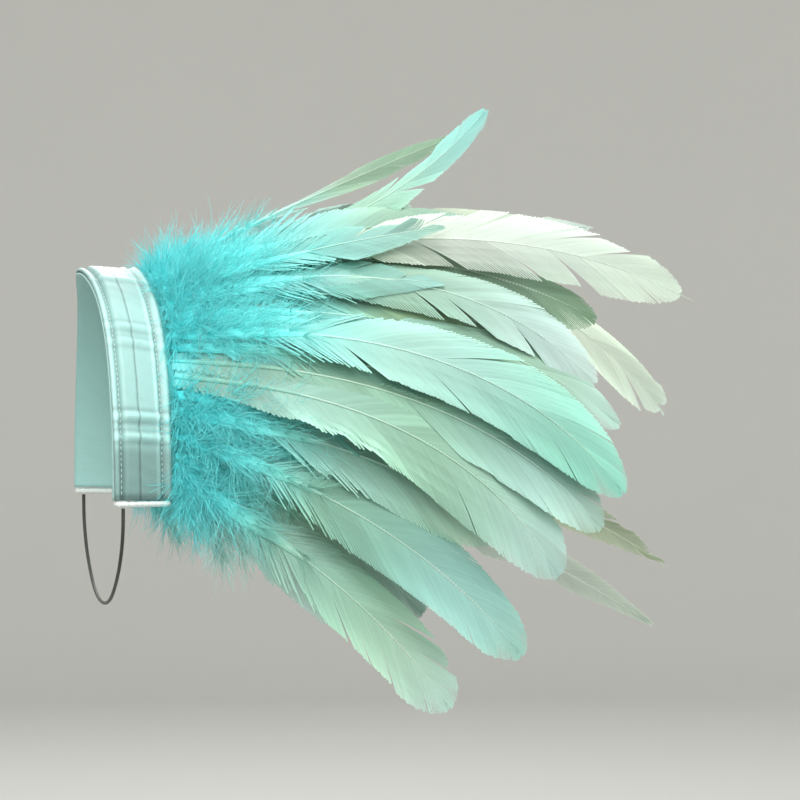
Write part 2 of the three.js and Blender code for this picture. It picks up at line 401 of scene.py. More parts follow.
def new_group(
    name: str, kind: str, inputs: tuple[Port, ...], outputs: tuple[Port, ...]
) -> tuple[Graph, Node, Node]:
    """Makes an empty node group with named sockets.

    Args:
        name: Name of the group.
        kind: Shader or geometry tree type.
        inputs: Its inputs.
        outputs: Its outputs.

    Returns:
        The graph, the group's input node and its output node.
    """
    tree = bpy.data.node_groups.new(name, kind)
    for direction, ports in (("INPUT", inputs), ("OUTPUT", outputs)):
        for port in ports:
            made = tree.interface.new_socket(name=port.name, in_out=direction, socket_type=port.kind)
            if port.default is not None:
                made.default_value = port.default
    graph = Graph(tree)
    return graph, graph.add("NodeGroupInput"), graph.add("NodeGroupOutput")


class ShaderGroups:
    """Effects that several finishes share."""

    STREAK_NOISE = {"Scale": 1.0, "Detail": 3.0, "Roughness": 0.6}
    MOTTLE_NOISE = {"Scale": 260.0, "Detail": 4.0, "Roughness": 0.6}
    WEFT_RISE = 0.6

    @cached_property
    def fibre_streaks(self) -> bpy.types.NodeTree:
        """Fine streaks that run along hairs and barbs, as a tone and a height.

        Returns:
            The shader group.
        """
        graph, start, end = new_group(
            "fibre_streaks",
            "ShaderNodeTree",
            (
                Port("Vector", VECTOR),
                Port("Along", FLOAT, 3.0),
                Port("Across", FLOAT, 120.0),
                Port("Contrast", FLOAT, 0.2),
            ),
            (Port("Tone", FLOAT), Port("Height", FLOAT)),
        )
        given = start.outputs
        stretch = graph.add(
            "ShaderNodeCombineXYZ", {"X": given["Along"], "Y": given["Across"], "Z": 1.0}
        )
        coords = graph.vector_math("MULTIPLY", given["Vector"], stretch.outputs["Vector"])
        noise = graph.add("ShaderNodeTexNoise", {"Vector": coords["Vector"], **self.STREAK_NOISE})
        height = noise.outputs["Fac"]
        graph.put(graph.round_one(height, given["Contrast"]), end.inputs["Tone"])
        graph.put(height, end.inputs["Height"])
        return graph.tree

    @cached_property
    def cloth_weave(self) -> bpy.types.NodeTree:
        """Woven threads on a map in metres, as a height and a worn tone.

        Returns:
            The shader group.
        """
        graph, start, end = new_group(
            "cloth_weave",
            "ShaderNodeTree",
            (
                Port("Vector", VECTOR),
                Port("Warp Pitch", FLOAT, 0.0004),
                Port("Weft Pitch", FLOAT, 0.0006),
                Port("Mottle", FLOAT, 0.1),
            ),
            (Port("Height", FLOAT), Port("Tone", FLOAT)),
        )
        given = start.outputs
        parts = graph.add("ShaderNodeSeparateXYZ", {"Vector": given["Vector"]})
        waves = []
        for axis, pitch in (("X", "Warp Pitch"), ("Y", "Weft Pitch")):
            turns = graph.math("DIVIDE", parts.outputs[axis], given[pitch])
            waves.append(graph.math("SINE", graph.math("MULTIPLY", turns, math.tau)))
        crossing = graph.math("MULTIPLY", waves[0], waves[1])
        height = graph.math("ADD", graph.math("MULTIPLY", waves[1], self.WEFT_RISE), crossing)
        noise = graph.add("ShaderNodeTexNoise", {"Vector": given["Vector"], **self.MOTTLE_NOISE})
        graph.put(height, end.inputs["Height"])
        graph.put(graph.round_one(noise.outputs["Fac"], given["Mottle"]), end.inputs["Tone"])
        return graph.tree


GROUPS = ShaderGroups()


@dataclass(frozen=True)
class Finish:
    """A finish: its name, gloss and soft glow."""

    name: str
    roughness: float = 0.6
    sheen: float = 0.0
    sheen_roughness: float = 0.45
    glow: float = 0.0
    glow_depth: float = 0.0015
    gloss: float = 0.5

    def material(self) -> bpy.types.Material:
        """Makes the finish's material.

        Returns:
            The new material.
        """
        material = bpy.data.materials.new(self.name)
        material.use_nodes = True
        material.node_tree.nodes.clear()
        graph = Graph(material.node_tree)
        shader = graph.add(
            "ShaderNodeBsdfPrincipled",
            {
                "Roughness": self.roughness,
                "Sheen Weight": self.sheen,
                "Sheen Roughness": self.sheen_roughness,
                "Specular IOR Level": self.gloss,
                "Subsurface Weight": self.glow,
                "Subsurface Radius": (1.0, 1.0, 1.0),
                "Subsurface Scale": self.glow_depth,
            },
        )
        graph.add("ShaderNodeOutputMaterial", {"Surface": shader.outputs["BSDF"]})
        self.paint(graph, shader)
        return material

    def paint(self, graph: Graph, shader: Node) -> None:
        """Links the finish's colours and relief to its shader.

        Args:
            graph: The material's graph.
            shader: Its Principled BSDF.
        """
        raise NotImplementedError

    @staticmethod
    def bump(graph: Graph, shader: Node, height: Socket, strength: float, depth: float) -> None:
        """Adds relief to the shader.

        Args:
            graph: The material's graph.
            shader: Its Principled BSDF.
            height: The height's socket.
            strength: How strongly it shows.
            depth: Real depth of a height of one.
        """
        node = graph.add("ShaderNodeBump", {"Strength": strength, "Distance": depth, "Height": height})
        graph.put(node.outputs["Normal"], shader.inputs["Normal"])


@dataclass(frozen=True)
class PlumeFinish(Finish):
    """Dyed barbs, shafts or down, coloured by the dye stored on the mesh."""

    along: float = 3.0
    across: float = 140.0
    contrast: float = 0.22
    relief: float = 0.25
    relief_depth: float = 0.0002

    def paint(self, graph: Graph, shader: Node) -> None:
        """Streaks the stored dye and raises the streaks a little.

        Args:
            graph: The material's graph.
            shader: Its Principled BSDF.
        """
        dye_and_painted_light = graph.add("ShaderNodeAttribute", attribute_name="dye_and_painted_light")
        place = graph.add("ShaderNodeUVMap", uv_map="UVMap")
        streaks = graph.add(
            "ShaderNodeGroup",
            {
                "Vector": place.outputs["UV"],
                "Along": self.along,
                "Across": self.across,
                "Contrast": self.contrast,
            },
            node_tree=GROUPS.fibre_streaks,
        )
        colour = graph.toned(dye_and_painted_light.outputs["Color"], streaks.outputs["Tone"])
        graph.put(colour, shader.inputs["Base Color"])
        self.bump(graph, shader, streaks.outputs["Height"], self.relief, self.relief_depth)


@dataclass(frozen=True)
class DownFinish(Finish):
    """Loose down, paler towards the end of each strand."""

    pale: Colour = linear(180, 240, 238)
    pale_share: float = 0.25
    darkest: float = 0.85
    swing: float = 0.3

    def paint(self, graph: Graph, shader: Node) -> None:
        """Pales the stored dye towards the strand's end and varies it from wisp to wisp.

        Args:
            graph: The material's graph.
            shader: Its Principled BSDF.
        """
        dye_and_painted_light, tipward, tint = (
            graph.add("ShaderNodeAttribute", attribute_name=name) for name in ("dye_and_painted_light", "tipward", "tint")
        )
        pale_share = graph.math("MULTIPLY", tipward.outputs["Fac"], self.pale_share)
        colour = graph.mix(pale_share, dye_and_painted_light.outputs["Color"], self.pale)
        tone = graph.math("ADD", graph.math("MULTIPLY", tint.outputs["Fac"], self.swing), self.darkest)
        graph.put(graph.toned(colour, tone), shader.inputs["Base Color"])


@dataclass(frozen=True)
class ClothFinish(Finish):
    """Woven ribbon or hem cloth in one colour, on a map in metres."""

    colour: Colour = (0.8, 0.8, 0.8)
    shade: Colour = (0.6, 0.6, 0.6)
    warp_pitch: float = 0.0004
    weft_pitch: float = 0.0006
    mottle: float = 0.12
    thread_height: float = 1.6
    relief: float = 0.3
    relief_depth: float = 0.00008

    def paint(self, graph: Graph, shader: Node) -> None:
        """Weaves the cloth, lets its threads vary in tone and gloss, darkens sunk threads towards the shade
        colour as painted shade, and multiplies in the painted shade and highlights stored on the mesh.

        Args:
            graph: The material's graph.
            shader: Its Principled BSDF.
        """
        place = graph.add("ShaderNodeUVMap", uv_map="UVMap")
        weave = graph.add(
            "ShaderNodeGroup",
            {
                "Vector": place.outputs["UV"],
                "Warp Pitch": self.warp_pitch,
                "Weft Pitch": self.weft_pitch,
                "Mottle": self.mottle,
            },
            node_tree=GROUPS.cloth_weave,
        )
        height, tone = weave.outputs["Height"], weave.outputs["Tone"]
        # Sunk threads blend towards the shade colour, a painted shade of the weave.
        raised = graph.ranged(height, (-self.thread_height, self.thread_height))
        colour = graph.toned(graph.mix(raised, self.shade, self.colour), tone)
        # Painted shade and highlights stored on the mesh are multiplied in.
        painted_shading = graph.add("ShaderNodeAttribute", attribute_name="dye_and_painted_light")
        colour = graph.mix(1.0, colour, painted_shading.outputs["Color"], "MULTIPLY")
        graph.put(colour, shader.inputs["Base Color"])
        graph.put(graph.math("MULTIPLY", tone, self.roughness), shader.inputs["Roughness"])
        self.bump(graph, shader, height, self.relief, self.relief_depth)


@dataclass(frozen=True)
class ThreadFinish(Finish):
    """Twisted thread or elastic in one colour, patterned on object coordinates."""

    colour: Colour = (0.8, 0.8, 0.8)
    groove: float = 0.8
    ply_scale: float = 900.0
    ply_bend: float = 2.0
    ply_detail: float = 1.0
    relief: float = 0.3
    relief_depth: float = 0.0001

    def paint(self, graph: Graph, shader: Node) -> None:
        """Adds a faint twist to the thread.

        Args:
            graph: The material's graph.
            shader: Its Principled BSDF.
        """
        place = graph.add("ShaderNodeTexCoord")
        twist = graph.add(
            "ShaderNodeTexWave",
            {
                "Vector": place.outputs["Object"],
                "Scale": self.ply_scale,
                "Distortion": self.ply_bend,
                "Detail": self.ply_detail,
            },
            bands_direction="DIAGONAL",
        )
        dark = tuple(self.groove * part for part in self.colour)
        colour = graph.mix(twist.outputs["Fac"], dark, self.colour)
        graph.put(colour, shader.inputs["Base Color"])
        self.bump(graph, shader, twist.outputs["Fac"], self.relief, self.relief_depth)


@dataclass(frozen=True)
class PlasterFinish(Finish):
    """The pale wall and floor of the studio."""

    colour: Colour = (0.6, 0.6, 0.58)
    mottle: float = 0.97
    mottle_scale: float = 3.0
    mottle_detail: float = 5.0
    floor_painted_shade: float = 0.5
    near: float = 0.3
    far: float = 2.5

    def paint(self, graph: Graph, shader: Node) -> None:
        """Mottles the plaster faintly and paints shade on the middle of the floor, fading out towards the
        wall.

        Args:
            graph: The material's graph.
            shader: Its Principled BSDF.
        """
        place = graph.add("ShaderNodeTexCoord").outputs["Object"]
        noise = graph.add(
            "ShaderNodeTexNoise",
            {"Vector": place, "Scale": self.mottle_scale, "Detail": self.mottle_detail},
        )
        dark = tuple(self.mottle * part for part in self.colour)
        colour = graph.mix(noise.outputs["Fac"], dark, self.colour)
        # Painted shade, darkest near the middle of the floor and gone by the far radius.
        level = graph.vector_math("MULTIPLY", place, (1.0, 1.0, 0.0))["Vector"]
        radius = graph.vector_math("LENGTH", level)["Value"]
        tone = graph.ranged(radius, (self.near, self.far), (self.floor_painted_shade, 1.0))
        graph.put(graph.toned(colour, tone), shader.inputs["Base Color"])


VANE = PlumeFinish(
    "dyed_vane", roughness=0.5, sheen=0.1, glow=0.2, gloss=0.35, contrast=0.12, relief=0.1
)
SHAFT = PlumeFinish("dyed_shaft", roughness=0.4, contrast=0.1, relief=0.1)
DOWN_BED = PlumeFinish(
    "down_bed", roughness=0.9, sheen=0.3, along=40.0, across=90.0, contrast=0.5, gloss=0.1
)
DOWN = DownFinish("loose_down", roughness=0.8, sheen=0.15, gloss=0.1)
SATIN = ClothFinish(
    "aqua_satin",
    roughness=0.34,
    sheen=0.2,
    colour=linear(176, 217, 212),
    shade=linear(144, 192, 187),
    warp_pitch=0.0005,
    weft_pitch=0.00045,
)
LINING = ClothFinish(
    "aqua_lining", roughness=0.5, sheen=0.15, colour=linear(176, 222, 217), shade=linear(150, 200, 195)
)
WHITE_CLOTH = ClothFinish(
    "white_hem_cloth", roughness=0.65, sheen=0.2, colour=linear(240, 246, 243), shade=linear(212, 222, 219)
)
TAPE_CLOTH = ClothFinish(
    "sewing_tape", roughness=0.7, colour=linear(96, 190, 190), shade=linear(70, 160, 162)
)
STITCHING = ThreadFinish("aqua_thread", roughness=0.5, sheen=0.2, colour=linear(205, 240, 236))
ELASTIC = ThreadFinish(
    "dark_elastic_cord", roughness=0.55, sheen=0.1, colour=linear(62, 63, 58), ply_scale=500.0
)
PLASTER = PlasterFinish("studio_plaster", roughness=0.9, gloss=0.2, colour=linear(224, 224, 220))


@dataclass
class MeshArrays:
    """Points, faces and stored values of a mesh that is still to be made; its stored colour holds the dyed
    colour together with any painted shade and highlights.
    """

    points: Array
    quads: Array
    dye_and_painted_light: Array
    places: Array
    flow: Array | None = None

    def __post_init__(self) -> None:
        """Lays the points and what is stored on them out in plain rows."""
        self.points = self.points.reshape(-1, 3)
        self.dye_and_painted_light = self.dye_and_painted_light.reshape(-1, 3)
        self.places = self.places.reshape(-1, 2)
        if self.flow is not None:
            self.flow = self.flow.reshape(-1, 3)

    @staticmethod
    def joined(parts: list["MeshArrays"]) -> "MeshArrays":
        """Joins several into one.

        Args:
            parts: What is joined, in order.

        Returns:
            One set of arrays.
        """
        starts = np.cumsum([0] + [len(part.points) for part in parts[:-1]])
        flows = [part.flow for part in parts]
        return MeshArrays(
            np.concatenate([part.points for part in parts]),
            np.concatenate([part.quads + start for part, start in zip(parts, starts)]),
            np.concatenate([part.dye_and_painted_light for part in parts]),
            np.concatenate([part.places for part in parts]),
            None if flows[0] is None else np.concatenate(flows),
        )

    def piece(self, name: str, finish: Finish, smooth: bool) -> Piece:
        """Makes the object, with its stored colour and painted light, its map and its finish.

        Args:
            name: Name of the piece.
            finish: What it is dressed in.
            smooth: Whether its faces are shaded smooth.

        Returns:
            The new object.
        """
        mesh = bpy.data.meshes.new(name)
        mesh.from_pydata(self.points.tolist(), [], self.quads.tolist())
        mesh.polygons.foreach_set("use_smooth", np.full(len(self.quads), smooth))
        dye_and_painted_light = mesh.attributes.new("dye_and_painted_light", "FLOAT_COLOR", "POINT")
        dye_and_painted_light.data.foreach_set("color", np.column_stack([self.dye_and_painted_light, np.ones(len(self.dye_and_painted_light))]).ravel())
        if self.flow is not None:
            flow = mesh.attributes.new("flow", "FLOAT_VECTOR", "POINT")
            flow.data.foreach_set("vector", self.flow.ravel())
        corners = np.empty(len(mesh.loops), dtype=np.int32)
        mesh.loops.foreach_get("vertex_index", corners)
        layer = mesh.uv_layers.new(name="UVMap")
        layer.data.foreach_set("uv", self.places[corners].ravel())
        mesh.materials.append(finish.material())
        mesh.update()
        return new_object(name, mesh)


def settle(piece: Piece, slot: str, *nodes: str) -> Piece:
    """Sets a finished piece on the body, hides the solids that it stands for and logs its slot.

    Args:
        piece: The piece.
        slot: The record's material slot.
        nodes: Solids that it replaces.

    Returns:
        The piece.
    """
    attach(piece, BODY)
    if nodes:
        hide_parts(*nodes)
    faces = len(piece.data.polygons) if piece.type == "MESH" else 0
    log.info("%s: %d faces, slot %s", piece.name, faces, slot)
    return piece


def realized(piece: Piece, tree: bpy.types.NodeTree, values: dict[str, object]) -> Piece:
    """Runs a geometry tree on a piece and keeps the result as a plain mesh.

    Args:
        piece: What the tree starts from. It is removed afterwards.
        tree: The geometry tree.
        values: Its inputs, by name.

    Returns:
        A new object with the finished mesh and no modifier.
    """
    modifier = piece.modifiers.new(tree.name, "NODES")
    modifier.node_group = tree
    for item in tree.interface.items_tree:
        if item.in_out == "INPUT" and item.name in values:
            modifier[item.identifier] = values[item.name]
    depsgraph = bpy.context.evaluated_depsgraph_get()
    mesh = bpy.data.meshes.new_from_object(
        piece.evaluated_get(depsgraph), preserve_all_data_layers=True, depsgraph=depsgraph
    )
    name = piece.name
    bpy.data.objects.remove(piece)
    mesh.name = name
    return new_object(name, mesh)


@dataclass(frozen=True)
class BandArch:
    """The arch of the band over the shoulder, on the inside of its lining."""

    half_depth: float = 0.052
    drop: float = 0.0735
    lean: float = 0.0045
    lean_reach: float = 0.026
    tilt_at_top: float = 3.0
    tilt_at_hem: float = 20.0
    samples: int = 721

    def line(self, angles: Array) -> Array:
        """Points of the band's middle line.

        Args:
            angles: Places round the arch, from 0 at the front hem to pi at the back.

        Returns:
            One point for each angle.
        """
        y = -self.half_depth * np.cos(angles)
        x = self.lean * (1.0 - bell(y / self.lean_reach))
        return np.stack([x, y, self.drop * (np.sin(angles) - 1.0)], axis=-1)

    @cached_property
    def measured(self) -> tuple[Array, Array]:
        """Angles round the arch, and the length of band up to each.

        Returns:
            The angles and the lengths.
        """
        angles = np.linspace(0.0, math.pi, self.samples)
        steps = np.linalg.norm(np.diff(self.line(angles), axis=0), axis=1)
        return angles, np.concatenate([[0.0], np.cumsum(steps)])

    @property
    def length(self) -> float:
        """Length of the band along its middle line."""
        return float(self.measured[1][-1])

    def directions(self, seats: Array) -> tuple[Array, Array, Array]:
        """The band's middle line and its own directions.

        Args:
            seats: Places along the band, from 0 at the front hem to 1 at the back.

        Returns:
            Middle points, directions across the band, and directions out of its face.
        """
        angles_known, lengths = self.measured
        angles = np.interp(np.asarray(seats) * lengths[-1], lengths, angles_known)
        cosines, sines = np.cos(angles), np.sin(angles)
        square = unit(
            np.stack([np.zeros_like(angles), -cosines / self.half_depth, sines / self.drop], axis=-1)
        )
        tilt = np.radians(self.tilt_at_top + (self.tilt_at_hem - self.tilt_at_top) * np.abs(cosines))
        outwards = np.array([1.0, 0.0, 0.0])
        cosine, sine = np.cos(tilt)[..., None], np.sin(tilt)[..., None]
        return self.line(angles), outwards * cosine - square * sine, square * cosine + outwards * sine

    def place(self, seats: Array, across: Array, lift: Array) -> Array:
        """Points on or above the band.

        Args:
            seats: Places along the band.
            across: Distances from its middle line.
            lift: Heights above the inside of its lining.

        Returns:
            The points.
        """
        middle, side, out = self.directions(seats)
        return middle + side * np.asarray(across)[..., None] + out * np.asarray(lift)[..., None]


ARCH = BandArch()


@dataclass(frozen=True)
class Pucker:
    """A crosswise pucker of the face ribbon: its place along the band, height and breadth."""

    seat: float
    height: float
    breadth: float

    FOOT_PLACE = 1.5
    FOOT_BREADTH = 0.6

    def distance(self, seats: Array) -> Array:
        """Distances from its crest, in halves of its breadth."""
        return (seats - self.seat) * ARCH.length / (0.5 * self.breadth)

    def crest(self, seats: Array) -> Array:
        """How near to its crest each seat is, from 0 to 1."""
        return bell(self.distance(seats))

    def foot(self, seats: Array) -> Array:
        """How near to the foot of its slopes each seat is, from 0 to 1."""
        return bell((np.abs(self.distance(seats)) - self.FOOT_PLACE) / self.FOOT_BREADTH)


PUCKERS = (
    Pucker(0.1, 0.0011, 0.0026),
    Pucker(0.133, 0.0013, 0.0028),
    Pucker(0.26, 0.0007, 0.0026),
    Pucker(0.29, 0.0008, 0.0026),
    Pucker(0.41, 0.0006, 0.003),
    Pucker(0.58, 0.0007, 0.0036),
    Pucker(0.7, 0.0008, 0.0036),
    Pucker(0.83, 0.0011, 0.004),
)


@dataclass(frozen=True)
class Ridge:
    """A raised or sunk line along the face ribbon: its place, height, breadth, and if it is sewn."""

    across: float
    height: float
    breadth: float
    sewn: bool = False

    SPREAD = 0.6

    def near(self, across: Array) -> Array:
        """How near to its middle each place across the ribbon is, from 0 to 1."""
        return bell((across - self.across) / (self.SPREAD * self.breadth))


FACE_RIDGES = (
    Ridge(-0.0091, 0.00055, 0.0012),
    Ridge(-0.0075, -0.0006, 0.0008, True),
    Ridge(-0.0014, -0.0003, 0.0005),
    Ridge(0.0053, 0.0004, 0.0009),
    Ridge(0.0067, -0.0006, 0.0009, True),
    Ridge(0.0089, 0.00055, 0.0012),
)


def cloth_strip(
    name: str,
    finish: Finish,
    seats: Array,
    across: Array,
    top: Array,
    bottom: Array,
    tone: Array | None = None,
) -> Piece:
    """Makes a closed strip of cloth along the band.

    Args:
        name: Name of the piece.
        finish: Its finish.
        seats: Places along the band.
        across: Places across it.
        top: Heights of its outer side, a row for each seat.
        bottom: Heights of its inner side.
        tone: Painted shade and highlights on its cloth, a row for each seat.

    Returns:
        The strip.
    """
    seat_grid, across_grid = grid(seats, across)
    outer = ARCH.place(seat_grid, across_grid, top)
    inner = ARCH.place(seat_grid, across_grid, bottom)[:, ::-1]
    rings = np.concatenate([outer, inner], axis=1)
    round_across = np.concatenate([across, across[::-1]])
    places = np.stack(np.broadcast_arrays(round_across[None, :], seats[:, None] * ARCH.length), axis=-1)
    dye_and_painted_light = np.ones_like(rings)
    # The painted shade and highlights go into the stored colour.
    if tone is not None:
        dye_and_painted_light = dye_and_painted_light * np.concatenate([tone, tone[:, ::-1]], axis=1)[..., None]
    quads = tube_quads(len(seats), rings.shape[1])
    return MeshArrays(rings, quads, dye_and_painted_light, places).piece(name, finish, True)


@dataclass(frozen=True)
class RolledHem:
    """The white rolled hem across one end of the band."""

    height: float = 0.002
    gap: float = 0.0003
    thick: float = 0.0044
    sides: int = 16
    rings: int = 45
    squareness: float = 0.7
    end_power: float = 24.0
    end_least: float = 0.15
    wave: float = 0.05
    wave_number: float = 2600.0
    map_turn: float = 0.0006

    def squared(self, values: Array) -> Array:
        """Fills a round section out towards a square one."""
        return np.sign(values) * np.abs(values) ** self.squareness

    def build(self, name: str, seat: float, node: str, width: float, lift: float) -> Piece:
        """Makes the hem.

        Args:
            name: Name of the piece.
            seat: Which end of the band, 0 or 1.
            node: The solid that it replaces.
            width: Width of the band.
            lift: Height of its middle above the inside of the lining.

        Returns:
            The hem.
        """
        turn = circle(self.sides)
        along = np.linspace(-0.5 * width, 0.5 * width, self.rings)
        rounding = 1.0 - (np.abs(along) / (0.5 * width)) ** self.end_power
        end_round = np.sqrt(np.clip(rounding, self.end_least, 1.0))
        size = (end_round * (1.0 + self.wave * np.sin(along * self.wave_number)))[:, None]
        thick = 0.5 * self.thick * self.squared(np.cos(turn))
        tall = 0.5 * self.height * self.squared(np.sin(turn))
        across = np.repeat(along[:, None], self.sides, axis=1)
        points = ARCH.place(np.full(across.shape, seat), across, lift + thick[None, :] * size)
        points[..., 2] -= self.gap + 0.5 * self.height - tall[None, :] * size
        quads = tube_quads(self.rings, self.sides)
        if seat > 0.5:
            quads = quads[:, ::-1]
        places = np.stack(np.broadcast_arrays(across, turn[None, :] * self.map_turn), axis=-1)
        piece = MeshArrays(points, quads, np.ones_like(points), places).piece(name, WHITE_CLOTH, True)
        return settle(piece, "white_hem", node)


@dataclass
class RibbonBand:
    """The two ribbons of the band, its hems and its stitching."""

    width: float = 0.02
    wall: float = 0.0008
    lining_top: float = 0.001
    lining_floor: float = 0.0001
    face_floor: float = 0.0027
    neck_floor: float = 0.0013
    climb: Range = (0.002, 0.0044)
    face_cut: float = 0.21
    lining_cut: float = 0.2
    face_steps: tuple[int, int] = (320, 52)
    lining_steps: tuple[int, int] = (160, 16)
    ripple: float = 0.00012
    ripple_waves: Range = (83.0, 190.0)
    ripple_start: float = 1.3
    ripple_bend: float = 2.0
    ripple_bend_waves: float = 300.0
    lining_ripple: float = 0.0001
    lining_waves: Range = (60.0, 150.0)
    # Tones painted on the face ribbon: painted shade at its front end, a painted shadow line by the front
    # hem, a darker top, and painted highlights and shadows on puckers and ridges.
    dimmest: float = 0.55
    hem_shade: Range = (0.005, 0.014)
    low_shade: Range = (0.07, 0.1)
    top_shade: float = 0.2
    top_from: Range = (0.32, 0.38)
    top_to: Range = (0.62, 0.68)
    crest_gleam: float = 160.0
    foot_shade: float = 250.0
    ridge_gleam: float = 0.3
    groove_shade: float = 0.5
    stitch_pitch: float = 0.0018
    stitch_length: float = 0.0014
    stitch_bend: tuple[Place, ...] = ((-0.5, 0.0, -0.1), (0.0, 0.0, 0.35), (0.5, 0.0, -0.1))
    stitch_steps: int = 4
    stitch_sides: int = 5
    thread: float = 0.00012
    seam: Range = (0.012, 0.988)
    seam_steps: int = 240
    hems: RolledHem = RolledHem()

    def face_height(self, seats: Array, across: Array) -> Array:
        """Top of the face ribbon above the inside of the lining.

        Args:
            seats: Places along the band.
            across: Distances from its middle line.

        Returns:
            Heights.
        """
        start, end = self.climb
        neck = -0.5 * self.width
        rise = smooth_step(neck + start, neck + end, across)
        height = self.neck_floor + (self.face_floor - self.neck_floor) * rise + self.wall
        slack = 1.0 - (2.0 * across / self.width) ** 2
        for pucker in PUCKERS:
            height = height + slack * pucker.height * pucker.crest(seats)
        for ridge in FACE_RIDGES:
            height = height + ridge.height * ridge.near(across)
        slow, quick = self.ripple_waves
        long_waves = np.sin(seats * slow + self.ripple_start)
        bend = self.ripple_bend * np.sin(across * self.ripple_bend_waves)
        return height + self.ripple * slack * np.sin(seats * quick + bend) * long_waves

    def face_painted_light(self, seats: Array, across: Array) -> Array:
        """Painted light on the face ribbon's cloth: painted shade at its front end, along the front hem and
        in the sunk lines, painted highlights on pucker crests and raised edges, painted shadow at the
        pucker feet, and darker over the top.

        Args:
            seats: Places along the band.
            across: Distances from its middle line.

        Returns:
            Tones round 1.
        """
        tone = 1.0
        # Painted shade over the front end below the lowest pucker, and a painted shadow line just above the
        # front hem.
        for stretch in (self.low_shade, self.hem_shade):
            tone = tone * (self.dimmest + (1.0 - self.dimmest) * smooth_step(*stretch, seats))
        # Darker over the top of the arch.
        on_top = smooth_step(*self.top_from, seats) * (1.0 - smooth_step(*self.top_to, seats))
        tone = tone * (1.0 - self.top_shade * on_top)
        # Painted highlight on each pucker's crest and painted shadow at the feet of its slopes.
        for pucker in PUCKERS:
            lit = self.crest_gleam * pucker.crest(seats) - self.foot_shade * pucker.foot(seats)
            tone = tone * (1.0 + pucker.height * lit)
        # Painted highlight along raised edges and painted shade in the sunk seam lines.
        for ridge in FACE_RIDGES:
            change = self.ridge_gleam if ridge.height > 0 else -self.groove_shade
            tone = tone * (1.0 + change * ridge.near(across))
        return tone

    def stations(self, steps: tuple[int, int]) -> tuple[Array, Array]:
        """Places along and across a ribbon of the band.

        Args:
            steps: How many there are along and across.

        Returns:
            The places along the band, and those across it.
        """
        along, across = steps
        half = 0.5 * self.width
        return np.linspace(0.0, 1.0, along), np.linspace(-half, half, across)

    def face(self) -> Piece:
        """Makes the outer ribbon, with its edges, seams and puckers.

        Returns:
            The ribbon.
        """
        seats, across = self.stations(self.face_steps)
        both = grid(seats, across)
        # The face ribbon's painted shade and highlights are stored on its mesh.
        top, tone = self.face_height(*both), self.face_painted_light(*both)
        piece = cloth_strip("satin_ribbon_face", SATIN, seats, across, top, top - self.wall, tone)
        settle(piece, "satin_ribbon", "ribbon_face")
        return piece

    def lining(self) -> Piece:
        """Makes the inner ribbon.

        Returns:
            The ribbon.
        """
        seats, across = self.stations(self.lining_steps)
        seat_grid, across_grid = grid(seats, across)
        along_waves, across_waves = self.lining_waves
        waves = np.sin(seat_grid * along_waves) * np.cos(across_grid * across_waves)
        bottom = self.lining_floor + self.lining_ripple * waves
        piece = cloth_strip("satin_ribbon_lining", LINING, seats, across, bottom + self.wall, bottom)
        settle(piece, "lining_ribbon", "ribbon_backing")
        return piece

    def stitch_tree(self) -> bpy.types.NodeTree:
        """Makes the tree that lays stitches along seam lines.

        Returns:
            The geometry tree.
        """
        graph, start, end = new_group(
            "seam_stitches",
            "GeometryNodeTree",
            (
                Port("Geometry", SHAPE),
                Port("Pitch", FLOAT, 0.0026),
                Port("Stitch Length", FLOAT, 0.0019),
                Port("Thread Radius", FLOAT, 0.00017),
                Port("Material", MATERIAL),
            ),
            (Port("Geometry", SHAPE),),
        )
        given = start.outputs
        seam = graph.add("GeometryNodeMeshToCurve", {"Mesh": given["Geometry"]})
        spaced = graph.add(
            "GeometryNodeResampleCurve",
            {"Curve": seam.outputs["Curve"], "Length": given["Pitch"]},
            mode="LENGTH",
        )
        relative = graph.math("DIVIDE", given["Thread Radius"], given["Stitch Length"])
        arc = graph.arc(self.stitch_bend, self.stitch_steps)
        stitch = graph.tube(arc, self.stitch_sides, relative)
        tangent = graph.add("GeometryNodeInputTangent")
        along = graph.add(
            "FunctionNodeAlignRotationToVector", {"Vector": tangent.outputs["Tangent"]}, axis="X"
        )
        upright = graph.add(
            "FunctionNodeAlignRotationToVector",
            {"Rotation": along.outputs["Rotation"], "Vector": graph.flow()},
            axis="Z",
            pivot_axis="X",
        )
        laid = graph.add(
            "GeometryNodeInstanceOnPoints",
            {
                "Points": spaced.outputs["Curve"],
                "Instance": stitch,
                "Rotation": upright.outputs["Rotation"],
                "Scale": given["Stitch Length"],
            },
        )
        return graph.close(laid.outputs["Instances"], start, end)

    def stitching(self) -> Piece:
        """Sews the band along its sunk lines.

        Returns:
            All stitches as one piece.
        """
        seats = np.linspace(*self.seam, self.seam_steps)
        points, edges, lifts = [], [], []
        for ridge in FACE_RIDGES:
            if not ridge.sewn:
                continue
            across = np.full_like(seats, ridge.across)
            start = sum(len(line) for line in points)
            points.append(ARCH.place(seats, across, self.face_height(seats, across)))
            lifts.append(ARCH.directions(seats)[2])
            edges += [(start + step, start + step + 1) for step in range(len(seats) - 1)]
        mesh = bpy.data.meshes.new("band_stitches")
        mesh.from_pydata(np.concatenate(points).tolist(), edges, [])
        flow = mesh.attributes.new("flow", "FLOAT_VECTOR", "POINT")
        flow.data.foreach_set("vector", np.concatenate(lifts).ravel())
        values = {
            "Pitch": self.stitch_pitch,
            "Stitch Length": self.stitch_length,
            "Thread Radius": self.thread,
            "Material": STITCHING.material(),
        }
        seam = new_object("band_stitches", mesh)
        return settle(realized(seam, self.stitch_tree(), values), "satin_ribbon")

